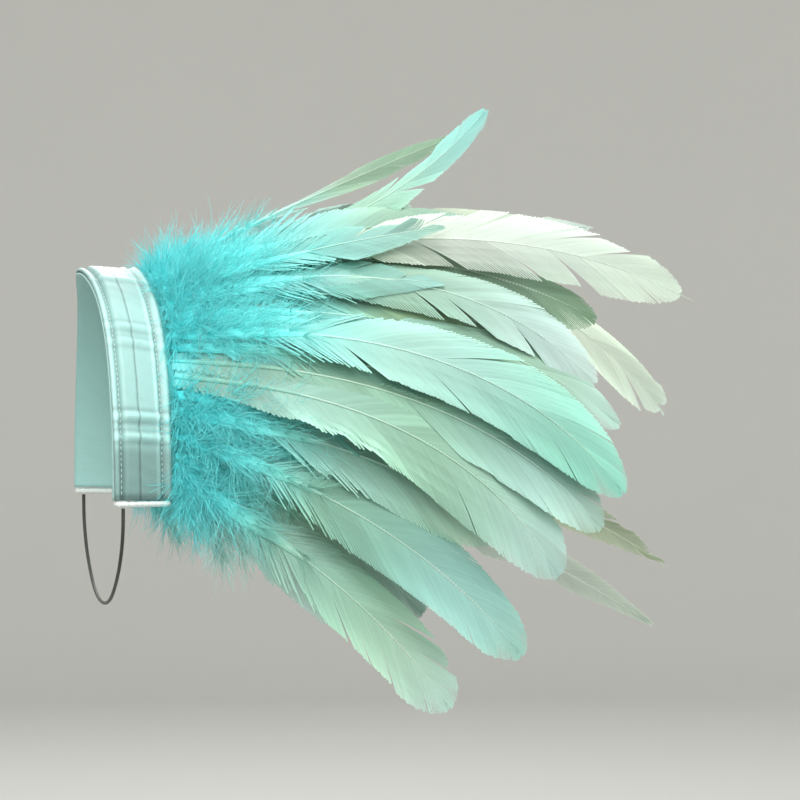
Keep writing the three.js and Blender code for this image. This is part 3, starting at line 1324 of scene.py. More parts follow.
    def build(self) -> None:
        """Makes the whole band."""
        self.face()
        self.lining()
        lift = 0.5 * (self.lining_top + self.face_floor)
        self.hems.build("front_rolled_hem", 0.0, "front_end_hem", self.width, lift)
        self.hems.build("back_rolled_hem", 1.0, "back_end_hem", self.width, lift)
        self.stitching()


class Tip(Enum):
    """Outline of a blade: half width along it, as shares of its length and of its half width."""

    ROUND = (
        (0, 0.12, 0.28, 0.5, 0.7, 0.8, 0.87, 0.92, 0.96, 0.985, 1),
        (0.22, 0.4, 0.72, 0.95, 1, 0.99, 0.93, 0.82, 0.62, 0.4, 0.15),
    )
    POINT = (
        (0, 0.12, 0.28, 0.4, 0.5, 0.6, 0.7, 0.87, 0.96, 1),
        (0.22, 0.46, 0.8, 0.96, 1, 0.96, 0.82, 0.44, 0.18, 0.05),
    )
    BLUNT = (
        (0, 0.12, 0.28, 0.4, 0.5, 0.6, 0.7, 0.87, 0.96, 1),
        (0.22, 0.46, 0.8, 0.96, 1, 0.92, 0.78, 0.58, 0.42, 0.12),
    )


class Tone(Enum):
    """Dye of a blade past its down: along its body, at its tip, and how frayed it is."""

    MINT = (linear(156, 204, 189), linear(179, 219, 208), 0.3)
    SAGE = (linear(144, 193, 174), linear(184, 223, 212), 0.3)
    AQUA = (linear(169, 217, 204), linear(144, 223, 214), 0.3)
    TEAL = (linear(138, 192, 179), linear(152, 207, 200), 0.35)
    RAGGED = (linear(142, 196, 182), linear(152, 206, 194), 1.0)
    PALE = (linear(170, 211, 202), linear(204, 232, 225), 0.5)
    OLIVE = (linear(128, 164, 134), linear(116, 156, 126), 0.6)
    STRAW = (linear(160, 186, 148), linear(188, 208, 168), 0.9)
    CREAM = (linear(214, 228, 215), linear(217, 238, 232), 1.0)


@dataclass(frozen=True)
class Feather:
    """One feather.

    Angles are in degrees, seat is its place along the band from the front hem, bare is the
    length of naked shaft past its tip, down is how full its down is, dyed is how far the
    turquoise reaches, and ruffle is how far its lower edge stands out in waves.
    """

    seat: float
    rise: float
    swing: float
    length: float
    width: float
    droop: float
    curl: float
    twist: float
    tip: Tip
    tone: Tone
    bare: float = 0.0
    down: float = 1.0
    dyed: float = 1.0
    ruffle: float = 0.0


FEATHERS = tuple(
    Feather(*row)
    for row in (
        (0.04, -30, -16, 0.119, 0.024, -26, 10, 0, Tip.ROUND, Tone.SAGE, 0.0, 1.0, 0.5),
        (0.075, -23, -2, 0.1, 0.022, -24, 8, 0, Tip.ROUND, Tone.SAGE, 0.0, 1.0, 0.5),
        (0.11, -19, -18, 0.137, 0.025, -34, 12, 0, Tip.ROUND, Tone.TEAL, 0.0, 1.0, 0.65),
        (0.13, -13, 0, 0.088, 0.022, -24, 8, 0, Tip.ROUND, Tone.AQUA),
        (0.15, -9, -15, 0.118, 0.024, -29, 12, 0, Tip.ROUND, Tone.MINT, 0.0, 1.0, 0.75),
        (0.18, -5, -12, 0.118, 0.024, -38, 12, 0, Tip.ROUND, Tone.TEAL),
        (0.21, -4, -21, 0.15, 0.031, -58, 18, 0, Tip.ROUND, Tone.MINT, 0.0, 0.08, 1.0, 0.006),
        (0.24, -2, -17, 0.158, 0.029, -48, 17, 0, Tip.ROUND, Tone.MINT, 0.0, 0.12),
        (0.265, 1, -15, 0.15, 0.028, -52, 15, 0, Tip.ROUND, Tone.TEAL, 0.0, 0.6),
        (0.29, 4, -17, 0.168, 0.029, -58, 16, 0, Tip.ROUND, Tone.AQUA),
        (0.31, 6, -13, 0.146, 0.027, -50, 13, 0, Tip.ROUND, Tone.MINT),
        (0.33, 5, -12, 0.162, 0.025, -46, 13, 0, Tip.ROUND, Tone.MINT),
        (0.35, 10, -8, 0.146, 0.025, -48, 10, 10, Tip.ROUND, Tone.OLIVE),
        (0.36, 13, -10, 0.096, 0.022, -22, 6, 10, Tip.POINT, Tone.RAGGED),
        (0.37, 14, -11, 0.158, 0.021, -62, 12, 20, Tip.ROUND, Tone.PALE),
        (0.385, 14, -4, 0.124, 0.022, -36, 8, 30, Tip.ROUND, Tone.AQUA),
        (0.395, 17, -9, 0.1, 0.02, -10, 4, 20, Tip.POINT, Tone.RAGGED),
        (0.4, 14, -6, 0.156, 0.022, -44, 10, 30, Tip.ROUND, Tone.OLIVE),
        (0.42, 16, -8, 0.186, 0.022, -42, 10, 50, Tip.ROUND, Tone.CREAM, 0.009),
        (0.44, 18, -5, 0.104, 0.02, -16, 6, 70, Tip.POINT, Tone.MINT),
        (0.46, 15, -4, 0.112, 0.022, -10, 6, 70, Tip.POINT, Tone.MINT),
        (0.475, 15, -2, 0.16, 0.016, -22, 6, 60, Tip.POINT, Tone.CREAM),
        (0.5, 9, -4, 0.136, 0.018, 42, 6, 50, Tip.BLUNT, Tone.AQUA),
        (0.52, 20, 4, 0.098, 0.022, -12, 0, 40, Tip.POINT, Tone.PALE),
        (0.54, 26, 2, 0.124, 0.018, -4, 0, 60, Tip.POINT, Tone.OLIVE),
        (0.565, 24, 8, 0.104, 0.022, -20, 0, 60, Tip.POINT, Tone.MINT),
        (0.585, 14, 10, 0.218, 0.023, -67, -4, 100, Tip.ROUND, Tone.CREAM),
        (0.61, 15, 12, 0.134, 0.022, -36, -6, 10, Tip.ROUND, Tone.MINT),
        (0.64, 11, 14, 0.15, 0.024, -46, -12, 0, Tip.ROUND, Tone.AQUA),
        (0.68, 8, 16, 0.164, 0.026, -50, -16, 0, Tip.ROUND, Tone.MINT),
        (0.715, 4, 18, 0.16, 0.026, -48, -16, 0, Tip.ROUND, Tone.MINT),
        (0.75, 1, 20, 0.154, 0.026, -48, -16, 0, Tip.ROUND, Tone.PALE),
        (0.78, -11, 9, 0.216, 0.026, -22, -6, 0, Tip.POINT, Tone.STRAW),
        (0.81, -4, 18, 0.146, 0.026, -46, -14, 0, Tip.ROUND, Tone.MINT),
        (0.84, -8, 18, 0.136, 0.025, -36, -12, 0, Tip.ROUND, Tone.AQUA),
        (0.86, -15, 9, 0.216, 0.022, -18, -6, 0, Tip.POINT, Tone.CREAM),
        (0.89, -14, 18, 0.13, 0.025, -34, -12, 0, Tip.ROUND, Tone.MINT),
        (0.925, -20, 16, 0.12, 0.024, -28, -10, 0, Tip.ROUND, Tone.MINT),
        (0.96, -24, 16, 0.112, 0.024, -26, -10, 0, Tip.ROUND, Tone.MINT),
    )
)


@dataclass(frozen=True)
class Tuft:
    """A bare tuft of down past a hem, in the same terms as a feather."""

    seat: float
    rise: float
    swing: float
    length: float
    droop: float
    curl: float = 0.0
    twist: float = 0.0
    down: float = 1.0


TUFTS = (
    Tuft(0.025, -50, -14, 0.037, -20),
    Tuft(0.04, -42, -12, 0.042, -16),
    Tuft(0.06, -36, -8, 0.044, -14),
    Tuft(0.94, -36, 8, 0.044, -14),
    Tuft(0.96, -42, 12, 0.042, -16),
    Tuft(0.975, -50, 14, 0.037, -20),
)


class ShaftPath:
    """The bent line of a feather, with the directions along, beside and out of its blade."""

    ROOT_ACROSS = 0.0122
    ROOT_LIFT = 0.00185
    BEND_POWER = 1.5
    STEPS = 40

    def __init__(self, plume: Feather | Tuft) -> None:
        """Follows the plume from the tape to its tip.

        Args:
            plume: The feather or tuft.
        """
        seat = np.array([plume.seat])
        root = ARCH.place(seat, np.array([self.ROOT_ACROSS]), np.array([self.ROOT_LIFT]))
        out = ARCH.directions(seat)[2]
        self.shares = np.linspace(0.0, 1.0, self.STEPS + 1)
        self.ahead = self.heading(plume, self.shares)
        middles = self.heading(plume, self.shares[:-1] + 0.5 / self.STEPS)
        steps = np.cumsum(middles, axis=0) * plume.length / self.STEPS
        self.points = root + np.concatenate([np.zeros((1, 3)), steps])
        flat = unit(np.cross(out, self.ahead))
        up = np.cross(self.ahead, flat)
        twist = np.radians(plume.twist * self.shares)[:, None]
        self.side = flat * np.cos(twist) + up * np.sin(twist)
        self.back = np.cross(self.ahead, self.side)

    def heading(self, plume: Feather | Tuft, shares: Array) -> Array:
        """The way the plume points along its length.

        Args:
            plume: The feather or tuft.
            shares: Shares of its length.

        Returns:
            One direction for each share.
        """
        bend = shares**self.BEND_POWER
        rise = np.radians(plume.rise + plume.droop * bend)
        swing = np.radians(plume.swing + plume.curl * bend)
        level = np.cos(rise)
        return np.stack([level * np.cos(swing), level * np.sin(swing), np.sin(rise)], axis=-1)

    def read(self, values: Array, shares: Array) -> Array:
        """Reads one of the path's rows of vectors at given shares.

        Args:
            values: Points or directions along the path.
            shares: Where to read them, of any shape.

        Returns:
            One vector for each share.
        """
        return np.stack([np.interp(shares, self.shares, values[:, axis]) for axis in range(3)], axis=-1)


@dataclass(frozen=True)
class Dyeing:
    """How the fringe is dyed, from its turquoise foot to the tips."""

    turquoise: Colour = linear(130, 244, 244)
    deep_turquoise: Colour = linear(94, 232, 236)
    hair: Colour = linear(176, 216, 204)
    quill: Colour = linear(226, 238, 226)
    quill_share: float = 0.3
    hold: float = 0.024
    edge: float = 0.004
    fade: float = 0.08
    foot: float = 0.03
    hair_from: Range = (0.004, 0.02)
    tip_from: float = 0.55
    sallow: Colour = (-0.01, -0.015, -0.15)
    sallow_waves: float = 1.3
    sallow_step: float = 7.0

    def blade(self, feather: Feather, shares: Array) -> Array:
        """Dye along a blade, from its turquoise foot to its tip.

        Args:
            feather: The feather.
            shares: Shares of its length.

        Returns:
            A colour for each share.
        """
        body, tip, _ = feather.tone.value
        reach = feather.down * feather.dyed
        past_down = smooth_step(self.hold * reach, self.edge + self.fade * reach, shares * feather.length)
        wave = np.sin(math.tau * (self.sallow_waves * shares + self.sallow_step * feather.seat))
        sallow = (0.5 + 0.5 * wave)[..., None] * np.array(self.sallow)
        blade = blend(body, tip, smooth_step(self.tip_from, 1.0, shares)) * (1.0 + sallow)
        return blend(self.turquoise, blade, past_down)

    def shaft(self, feather: Feather, shares: Array) -> Array:
        """Dye along a shaft, paler than the blade beside it."""
        paler = np.full(shares.shape, self.quill_share)
        return blend(self.blade(feather, shares), self.quill, paler)

    def down(self, plume: Feather | Tuft, distance: Array) -> Array:
        """Dye of the down along a plume, deepest at its root.

        Args:
            plume: The feather or tuft.
            distance: Distances from its root.

        Returns:
            A colour for each distance.
        """
        if isinstance(plume, Feather):
            outer = self.blade(plume, distance / plume.length)
        else:
            outer = blend(self.turquoise, self.hair, smooth_step(*self.hair_from, distance))
        return blend(self.deep_turquoise, outer, smooth_step(0.0, self.foot * plume.down, distance))


DYEING = Dyeing()


@dataclass(frozen=True)
class BarbLocks:
    """How neighbouring barbs cling together in locks, and how a vane splits between them."""

    sizes: tuple[int, int] = (5, 22)
    tip_stretch: Range = (0.55, 0.8)
    tip_hold: float = 1.45
    splits: float = 0.06
    splits_frayed: float = 0.3
    cling: Range = (0.0, 0.04)
    split_cling: Range = (0.1, 0.4)
    lift: float = 0.00015
    split_lift: float = 0.0004
    split_lift_frayed: float = 0.0006
    shortening: Range = (0.0, 0.2)
    tone_spread: float = 0.08
    tone_limits: Range = (0.8, 1.16)
    barb_tone: Range = (0.95, 1.05)

    def draw(self, count: int, fray: float, rng: np.random.Generator) -> tuple[Array, ...]:
        """Groups barbs into locks.

        Args:
            count: How many barbs there are.
            fray: How frayed the vane is.
            rng: Source of chance.

        Returns:
            For each barb: the middle of its lock, how far it is drawn to it, how high the lock
            stands, how long it is, and its tone.
        """
        sizes = []
        while sum(sizes) < count:
            sizes.append(int(rng.integers(*self.sizes)))
        lock = np.repeat(np.arange(len(sizes)), sizes)[:count]
        middles = np.array([np.mean(np.flatnonzero(lock == one)) for one in range(lock[-1] + 1)])
        kinds = len(middles)
        held = min(1.0, self.tip_hold * (1.0 - fray)) * smooth_step(*self.tip_stretch, middles / count)
        split = rng.random(kinds) < (self.splits + self.splits_frayed * fray) * (1.0 - held)
        drawn = rng.uniform(*self.cling, kinds) + split * rng.uniform(*self.split_cling, kinds)
        split_lift = self.split_lift + self.split_lift_frayed * fray
        lifted = rng.normal(0.0, self.lift, kinds) + split * rng.normal(0.0, split_lift, kinds)
        long = 1.0 - split * fray * rng.uniform(*self.shortening, kinds)
        tone = np.clip(rng.normal(1.0, self.tone_spread, kinds), *self.tone_limits)
        tones = tone[lock] * rng.uniform(*self.barb_tone, count)
        return middles[lock], drawn[lock], lifted[lock], long[lock], tones


@dataclass
class BarbRun:
    """Barbs on one side of a feather, with a row of stations from the root to the end of each.

    Shares are of the feather's length, outward is the distance from the shaft and lean the angle
    to it. Each barb's lock is lifted at its end, and it has its share of looseness and its tone.
    """

    sign: int
    half: float
    shares: Array
    outward: Array
    lean: Array
    lifted: Array
    loose: Array
    tone: Array


@dataclass(frozen=True)
class Vane:
    """The barbs of a feather, and how its vane is cupped, rolled, curled and ruffled."""

    start: float = 0.03
    end: float = 0.985
    root_tuck: float = 0.0055
    lopsided: float = 0.08
    pitch: float = 0.00125
    rows: int = 4
    sides: int = 4
    march_steps: int = 48
    least_steps: float = 2.0
    lean_places: tuple[float, ...] = (0.0, 0.05, 0.45, 0.85, 1.0)
    lean_angles: tuple[float, ...] = (80.0, 44.4, 32.0, 24.0, 8.0)
    lean_lost: float = 0.35
    side_reach: float = 1.5
    tip_reach: float = 1.3
    tip_spare: float = 0.4
    loose_stretch: Range = (0.035, 0.055)
    shortest: float = 0.985
    loose_short: float = 0.3
    loose_long: float = 0.15
    loose_lift: float = 0.0012
    pull_power: float = 1.6
    lift_power: float = 1.5
    cup: float = 0.18
    roll: float = 0.0017
    roll_turns: Range = (0.8, 1.7)
    edge_curl: float = 0.002
    curl_range: Range = (-0.4, 1.0)
    layer: float = 0.00002
    layers: int = 3
    ruffle_waves: float = 8.0
    ruffle_middle: float = 0.6
    ruffle_drift: float = 0.04
    ruffle_drift_waves: float = 2.3
    ruffle_from: Range = (0.02, 0.1)
    ruffle_to: Range = (0.4, 0.7)
    # Painted highlight on the crests of a ruffled edge:
    ruffle_gleam: float = 60.0
    overlap: float = 0.66
    least_sine: float = 0.3
    loose_slimming: float = 0.4
    taper_places: tuple[float, ...] = (0.0, 0.7, 0.9, 1.0)
    taper: tuple[float, ...] = (1.0, 1.0, 0.95, 0.7)
    thick: Range = (0.00004, 0.00003)
    # Painted highlight: the vane's tone rises from inner_tone by the shaft to a pale rim.
    inner_tone: float = 0.82
    rim_gleam: float = 0.3
    rim_from: float = 0.3
    map_step: float = 10.0
    locks: BarbLocks = BarbLocks()

    def run(self, feather: Feather, sign: int, rng: np.random.Generator) -> BarbRun:
        """Grows the barbs on one side of a feather as far as its outline.

        Args:
            feather: The feather.
            sign: Which side, 1 or -1.
            rng: Source of chance.

        Returns:
            The barbs' lines.
        """
        half = 0.5 * feather.width * (1.0 + sign * rng.uniform(-self.lopsided, self.lopsided))
        start = self.start * feather.down
        first = (start - self.root_tuck * (1.0 - feather.down)) / feather.length
        count = int((feather.length - start) / self.pitch)
        roots = first + (self.end - first) * (np.arange(count) + 0.5) / count
        angle = np.radians(np.interp(roots, self.lean_places, self.lean_angles))
        to_side = self.side_reach * half / np.sin(angle)
        to_tip = (1.0 - roots) * feather.length * self.tip_reach + self.tip_spare * half
        march = np.linspace(0.0, 1.0, self.march_steps + 1)
        lean = angle[:, None] * (1.0 - self.lean_lost * march[None, :])
        step = np.minimum(to_side, to_tip)[:, None] / self.march_steps
        forward = np.cumsum(np.cos(lean), axis=1) * step
        outward = np.cumsum(np.sin(lean), axis=1) * step
        shares = roots[:, None] + forward / feather.length
        inside = (outward <= half * np.interp(shares, *feather.tip.value)) & (shares <= 1.0)
        ends = np.where(inside.all(axis=1), self.march_steps, np.argmin(inside, axis=1)).astype(float)
        _, _, fray = feather.tone.value
        middles, drawn, lifted, long, tone = self.locks.draw(count, fray, rng)
        loose = feather.down * (1.0 - smooth_step(*self.loose_stretch, roots * feather.length))
        uneven = rng.uniform(self.shortest - self.loose_short * loose, 1.0 + self.loose_long * loose)
        ends = np.clip(ends * long * uneven, self.least_steps, self.march_steps)
        lifted = lifted + loose * rng.normal(0.0, self.loose_lift, count)
        rows = np.linspace(0.0, 1.0, self.rows + 1)
        at = rows[None, :] * ends[:, None]
        low = np.floor(at).astype(int)
        high = np.minimum(low + 1, self.march_steps)
        between = at - low
        index = np.arange(count)[:, None]
        forward = forward[index, low] * (1.0 - between) + forward[index, high] * between
        outward = outward[index, low] * (1.0 - between) + outward[index, high] * between
        pull = (np.interp(middles, np.arange(count), roots) - roots) * drawn
        shares = roots[:, None] + forward / feather.length + pull[:, None] * rows**self.pull_power
        return BarbRun(sign, half, shares, outward, lean[index, low], lifted, loose, tone)

    def ruffled(self, feather: Feather, run: BarbRun, ratio: Array) -> Array:
        """How far the waves of a ruffled lower edge stand out.

        Args:
            feather: The feather.
            run: Its barbs on one side.
            ratio: Shares of the half width at their stations.

        Returns:
            A height for each station.
        """
        shares = run.shares
        drifting = shares + self.ruffle_drift * np.sin(math.tau * self.ruffle_drift_waves * shares)
        wave = np.sin(math.tau * self.ruffle_waves * drifting)
        stretch = smooth_step(*self.ruffle_from, shares) * (1.0 - smooth_step(*self.ruffle_to, shares))
        waves = (self.ruffle_middle + (1.0 - self.ruffle_middle) * wave) * stretch
        return max(-run.sign, 0) * feather.ruffle * waves * ratio**3

    def barbs(
        self, feather: Feather, path: ShaftPath, sign: int, rng: np.random.Generator
    ) -> MeshArrays:
        """Makes the barbs on one side of a feather, in their place in its cupped, rolling vane.

        Args:
            feather: The feather.
            path: Its shaft.
            sign: Which side, 1 or -1.
            rng: Source of chance.

        Returns:
            The barbs, each a thin closed blade.
        """
        run = self.run(feather, sign, rng)
        shares, lean = run.shares, run.lean
        count, stations = shares.shape
        rows = np.linspace(0.0, 1.0, stations)
        ratio = run.outward / run.half
        phase, turns = rng.uniform(0.0, 1.0), rng.uniform(*self.roll_turns)
        roll = self.roll * np.sin(math.tau * (turns * shares + phase)) * ratio**2
        curled = rng.uniform(*self.curl_range) * self.edge_curl * ratio**4
        layer = self.layer * (np.arange(count) % self.layers)[:, None]
        ruffle = self.ruffled(feather, run, ratio)
        height = roll + curled - self.cup * run.half * ratio**2
        height = height + run.lifted[:, None] * rows**self.lift_power + ruffle + layer
        inner = np.clip(shares, 0.0, 1.0)
        ahead = path.read(path.ahead, inner)
        side = path.read(path.side, inner) * sign
        back = path.read(path.back, inner)
        past = (shares - inner) * feather.length
        middle = path.read(path.points, inner) + ahead * past[..., None]
        middle = middle + side * run.outward[..., None] + back * height[..., None]
        broad = self.overlap * self.pitch * np.maximum(np.sin(lean), self.least_sine)
        broad = broad * (1.0 - self.loose_slimming * run.loose[:, None])
        broad = (broad * np.interp(rows, self.taper_places, self.taper))[..., None]
        across = (ahead * np.sin(lean)[..., None] - side * np.cos(lean)[..., None]) * broad
        up = back * np.interp(rows, (0.0, 1.0), self.thick)[None, :, None]
        rings = np.stack([middle - across, middle + up, middle + across, middle - up], axis=2)
        quads = repeated(tube_quads(stations, self.sides), count, stations * self.sides)
        if sign < 0:
            quads = quads[:, ::-1]
        # Painted highlight along the rim and on the crests of a ruffled edge, scaled by each lock's own
        # tone.
        rim_highlight = self.inner_tone + self.rim_gleam * smooth_step(self.rim_from, 1.0, ratio)
        tone = (rim_highlight + self.ruffle_gleam * ruffle) * run.tone[:, None]
        dye_and_painted_light = np.repeat((DYEING.blade(feather, inner) * tone[..., None])[:, :, None, :], self.sides, axis=2)
        along = np.broadcast_to(rows[None, :, None], (count, stations, self.sides))
        beside = np.broadcast_to(shares[:, :1, None], along.shape) + feather.seat * self.map_step
        return MeshArrays(rings, quads, dye_and_painted_light, np.stack([along, beside], axis=-1))


@dataclass(frozen=True)
class Shaft:
    """The shaft of a feather, a tapered tube that ends near or past the tip."""

    sides: int = 6
    rings: int = 22
    end: float = 0.985
    places: tuple[float, ...] = (0.0, 0.3, 1.0)
    radii: tuple[float, ...] = (0.0004, 0.0004, 0.00012)
    proud: float = 0.0001

    def build(self, feather: Feather, path: ShaftPath) -> MeshArrays:
        """Makes a feather's shaft.

        Args:
            feather: The feather.
            path: Its line.

        Returns:
            The shaft as a closed, tapered tube.
        """
        shares = np.linspace(0.0, self.end + feather.bare / feather.length, self.rings)
        turn = circle(self.sides)
        radius = np.interp(shares, self.places, self.radii)[:, None, None]
        side = path.read(path.side, shares)[:, None, :]
        back = path.read(path.back, shares)[:, None, :]
        past = np.maximum(shares - 1.0, 0.0)[:, None, None] * feather.length
        middle = path.read(path.points, shares)[:, None, :] + back * self.proud + path.ahead[-1] * past
        outwards = side * np.cos(turn)[None, :, None] + back * np.sin(turn)[None, :, None]
        dye_and_painted_light = np.repeat(DYEING.shaft(feather, shares)[:, None, :], self.sides, axis=1)
        places = np.stack(np.broadcast_arrays(turn[None, :], shares[:, None]), axis=-1)
        return MeshArrays(middle + radius * outwards, tube_quads(self.rings, self.sides), dye_and_painted_light, places)


@dataclass(frozen=True)
class DownRing:
    """A ring of the down round a plume's foot: its place, its size, and how its strands grow."""

    distance: float
    half_width: float
    half_thick: float
    onward: float
    growth: float


DOWN_RINGS = (
    DownRing(0.0, 0.0012, 0.0005, 0.05, 2.6),
    DownRing(0.004, 0.002, 0.0007, 0.25, 2.3),
    DownRing(0.01, 0.0028, 0.0009, 0.5, 1.7),
    DownRing(0.018, 0.0032, 0.001, 0.7, 1.2),
    DownRing(0.026, 0.003, 0.0009, 0.75, 1.0),
    DownRing(0.034, 0.0024, 0.0007, 0.8, 0.8),
    DownRing(0.042, 0.0016, 0.0005, 0.85, 0.6),
    DownRing(0.052, 0.0008, 0.0003, 0.9, 0.4),
)


@dataclass(frozen=True)
class DownBed:
    """The soft body of down round a plume's foot, and the way its strands lie."""

    sides: int = 8
    length: float = 0.05
    sag: float = 0.12
    hem_sag: float = 0.45
    hem_stretch: float = 0.12
    tuft_sag: float = 1.1
    tuft_length: float = 0.8
    tuft_width: float = 0.6
    tuft_growth: float = 1.6
    least_width: float = 0.25
    swell: Range = (0.85, 1.15)
    spread_side: float = 0.75
    spread_back: float = 0.55
    tones: Range = (0.9, 1.1)

    def build(self, plume: Feather | Tuft, path: ShaftPath, rng: np.random.Generator) -> MeshArrays:
        """Makes the down round one plume.

        Args:
            plume: The feather or tuft.
            path: Its shaft.
            rng: Source of chance.

        Returns:
            A closed body.
        """
        columns = (np.array(column) for column in zip(*map(astuple, DOWN_RINGS)))
        distance, half_width, half_thick, onward, growth = columns
        growth = growth * plume.down
        from_hem = smooth_step(0.0, self.hem_stretch, min(plume.seat, 1.0 - plume.seat))
        sag = self.sag + self.hem_sag * (1.0 - from_hem)
        if isinstance(plume, Tuft):
            distance = distance * self.tuft_length * plume.length / self.length
            half_width = half_width * self.tuft_width
            growth = growth * self.tuft_growth
            sag = self.tuft_sag
        half_width = half_width * (self.least_width + (1.0 - self.least_width) * plume.down)
        turn = circle(self.sides)
        shares = distance / plume.length
        side = path.read(path.side, shares)[:, None, :] * np.cos(turn)[None, :, None]
        back = path.read(path.back, shares)[:, None, :] * np.sin(turn)[None, :, None]
        ahead = path.read(path.ahead, shares)[:, None, :] * onward[:, None, None]
        swell = rng.uniform(*self.swell, (len(distance), self.sides))
        wide = (half_width[:, None] * swell)[..., None]
        thick = (half_thick[:, None] * swell)[..., None]
        points = path.read(path.points, shares)[:, None, :] + side * wide + back * thick
        spread = side * self.spread_side + back * self.spread_back
        flow = unit(ahead + spread - np.array([0.0, 0.0, sag])) * growth[:, None, None]
        dye_and_painted_light = np.broadcast_to(DYEING.down(plume, distance)[:, None, :], points.shape)
        dye_and_painted_light = dye_and_painted_light * rng.uniform(*self.tones)
        places = np.stack(np.broadcast_arrays(turn[None, :], shares[:, None]), axis=-1)
        return MeshArrays(points, tube_quads(len(distance), self.sides), dye_and_painted_light, places, flow)


@dataclass(frozen=True)
class Wisps:
    """Loose wisps of down, each a bunch of bent strands."""

    length: float = 0.014
    strands: int = 7
    strand: float = 0.00013
    strand_bend: tuple[Place, ...] = ((0.0, 0.0, 0.0), (0.02, 0.0, 0.6), (0.3, 0.0, 1.0))
    strand_steps: int = 3
    strand_sides: int = 3
    taper: float = 0.8
    splay: float = 0.55
    stray: float = 0.35
    strand_sizes: Range = (0.6, 1.0)
    wisp_sizes: Range = (0.5, 1.35)
    strand_seed: int = 21
    wisp_seed: int = 22
    tint_seed: int = 23

    @staticmethod
    def tilts(graph: Graph, limit: float, seed: Socket) -> Socket:
        """Chance turns: leaning up to a limit, and turned any way round."""
        return graph.chance((-limit, -limit, 0.0), (limit, limit, math.tau), seed)

    def tree(self) -> bpy.types.NodeTree:
        """Makes the tree that grows wisps of down out of a bed.

        Returns:
            The geometry tree.
        """
        graph, start, end = new_group(
            "down_wisps",
            "GeometryNodeTree",
            (
                Port("Geometry", SHAPE),
                Port("Wisps Per Area", FLOAT, 240000.0),
                Port("Wisp Length", FLOAT, 0.0145),
                Port("Strand Radius", FLOAT, 0.00011),
                Port("Strands", WHOLE, 6),
                Port("Seed", WHOLE, 1),
                Port("Material", MATERIAL),
            ),
            (Port("Geometry", SHAPE),),
        )
        given = start.outputs
        wisp = self.wisp(graph, given)
        flow = graph.flow()
        growth = graph.vector_math("LENGTH", flow)["Value"]
        density = graph.math("MULTIPLY", growth, given["Wisps Per Area"])
        feet = graph.add(
            "GeometryNodeDistributePointsOnFaces",
            {"Mesh": given["Geometry"], "Density": density, "Seed": given["Seed"]},
        )
        upright = graph.add("FunctionNodeAlignRotationToVector", {"Vector": flow}, axis="Z")
        stray = self.tilts(graph, self.stray, given["Seed"])
        turned = graph.add(
            "FunctionNodeRotateRotation",
            {"Rotation": upright.outputs["Rotation"], "Rotate By": stray},
            rotation_space="LOCAL",
        )
        size = graph.math("MULTIPLY", graph.chance(*self.wisp_sizes, self.wisp_seed), given["Wisp Length"])
        grown = graph.add(
            "GeometryNodeInstanceOnPoints",
            {
                "Points": feet.outputs["Points"],
                "Instance": wisp,
                "Rotation": turned.outputs["Rotation"],
                "Scale": size,
            },
        )
        tint = graph.chance(0.0, 1.0, self.tint_seed)
        tinted = graph.add(
            "GeometryNodeStoreNamedAttribute",
            {"Geometry": grown.outputs["Instances"], "Name": "tint", "Value": tint},
            data_type="FLOAT",
            domain="INSTANCE",
        )
        return graph.close(tinted.outputs["Geometry"], start, end)

    def wisp(self, graph: Graph, given: bpy.types.NodeOutputs) -> Socket:
        """Makes one wisp, a bunch of strands of length one.

        Args:
            graph: The tree's graph.
            given: Outputs of the tree's input node.

        Returns:
            The wisp's mesh.
        """
        arc = graph.arc(self.strand_bend, self.strand_steps)
        tipward = graph.add("GeometryNodeSplineParameter").outputs["Factor"]
        marked = graph.add(
            "GeometryNodeStoreNamedAttribute",
            {"Geometry": arc, "Name": "tipward", "Value": tipward},
            data_type="FLOAT",
            domain="POINT",
        )
        relative = graph.math("DIVIDE", given["Strand Radius"], given["Wisp Length"])
        slimmed = graph.math("SUBTRACT", 1.0, graph.math("MULTIPLY", tipward, self.taper))
        strand = graph.tube(marked.outputs["Geometry"], self.strand_sides, relative, Scale=slimmed)
        foot = graph.add("GeometryNodePoints", {"Count": given["Strands"]})
        bunch = graph.add(
            "GeometryNodeInstanceOnPoints",
            {
                "Points": foot.outputs["Points"],
                "Instance": strand,
                "Rotation": self.tilts(graph, self.splay, given["Seed"]),
                "Scale": graph.chance(*self.strand_sizes, self.strand_seed),
            },
        )
        whole = graph.add("GeometryNodeRealizeInstances", {"Geometry": bunch.outputs["Instances"]})
        return whole.outputs["Geometry"]

    def values(self, per_area: float, seed: int) -> dict[str, object]:
        """The tree's inputs for one stretch of the fringe.

        Args:
            per_area: How many wisps grow on a square metre of the bed.
            seed: Seed of the tree's chance values.

        Returns:
            The values by name.
        """
        return {
            "Wisps Per Area": per_area,
            "Wisp Length": self.length,
            "Strand Radius": self.strand,
            "Strands": self.strands,
            "Seed": seed,
            "Material": DOWN.material(),
        }


@dataclass(frozen=True)
class Stretch:
    """A stretch of the fringe: its name, where it starts and ends, and its wisps for each area."""

    name: str
    start: float
    end: float
    wisps_per_area: float

    def own(self, plumes: tuple[Feather, ...] | tuple[Tuft, ...]) -> list[Feather] | list[Tuft]:
        """The plumes whose seats are in the stretch."""
        return [plume for plume in plumes if self.start <= plume.seat < self.end]


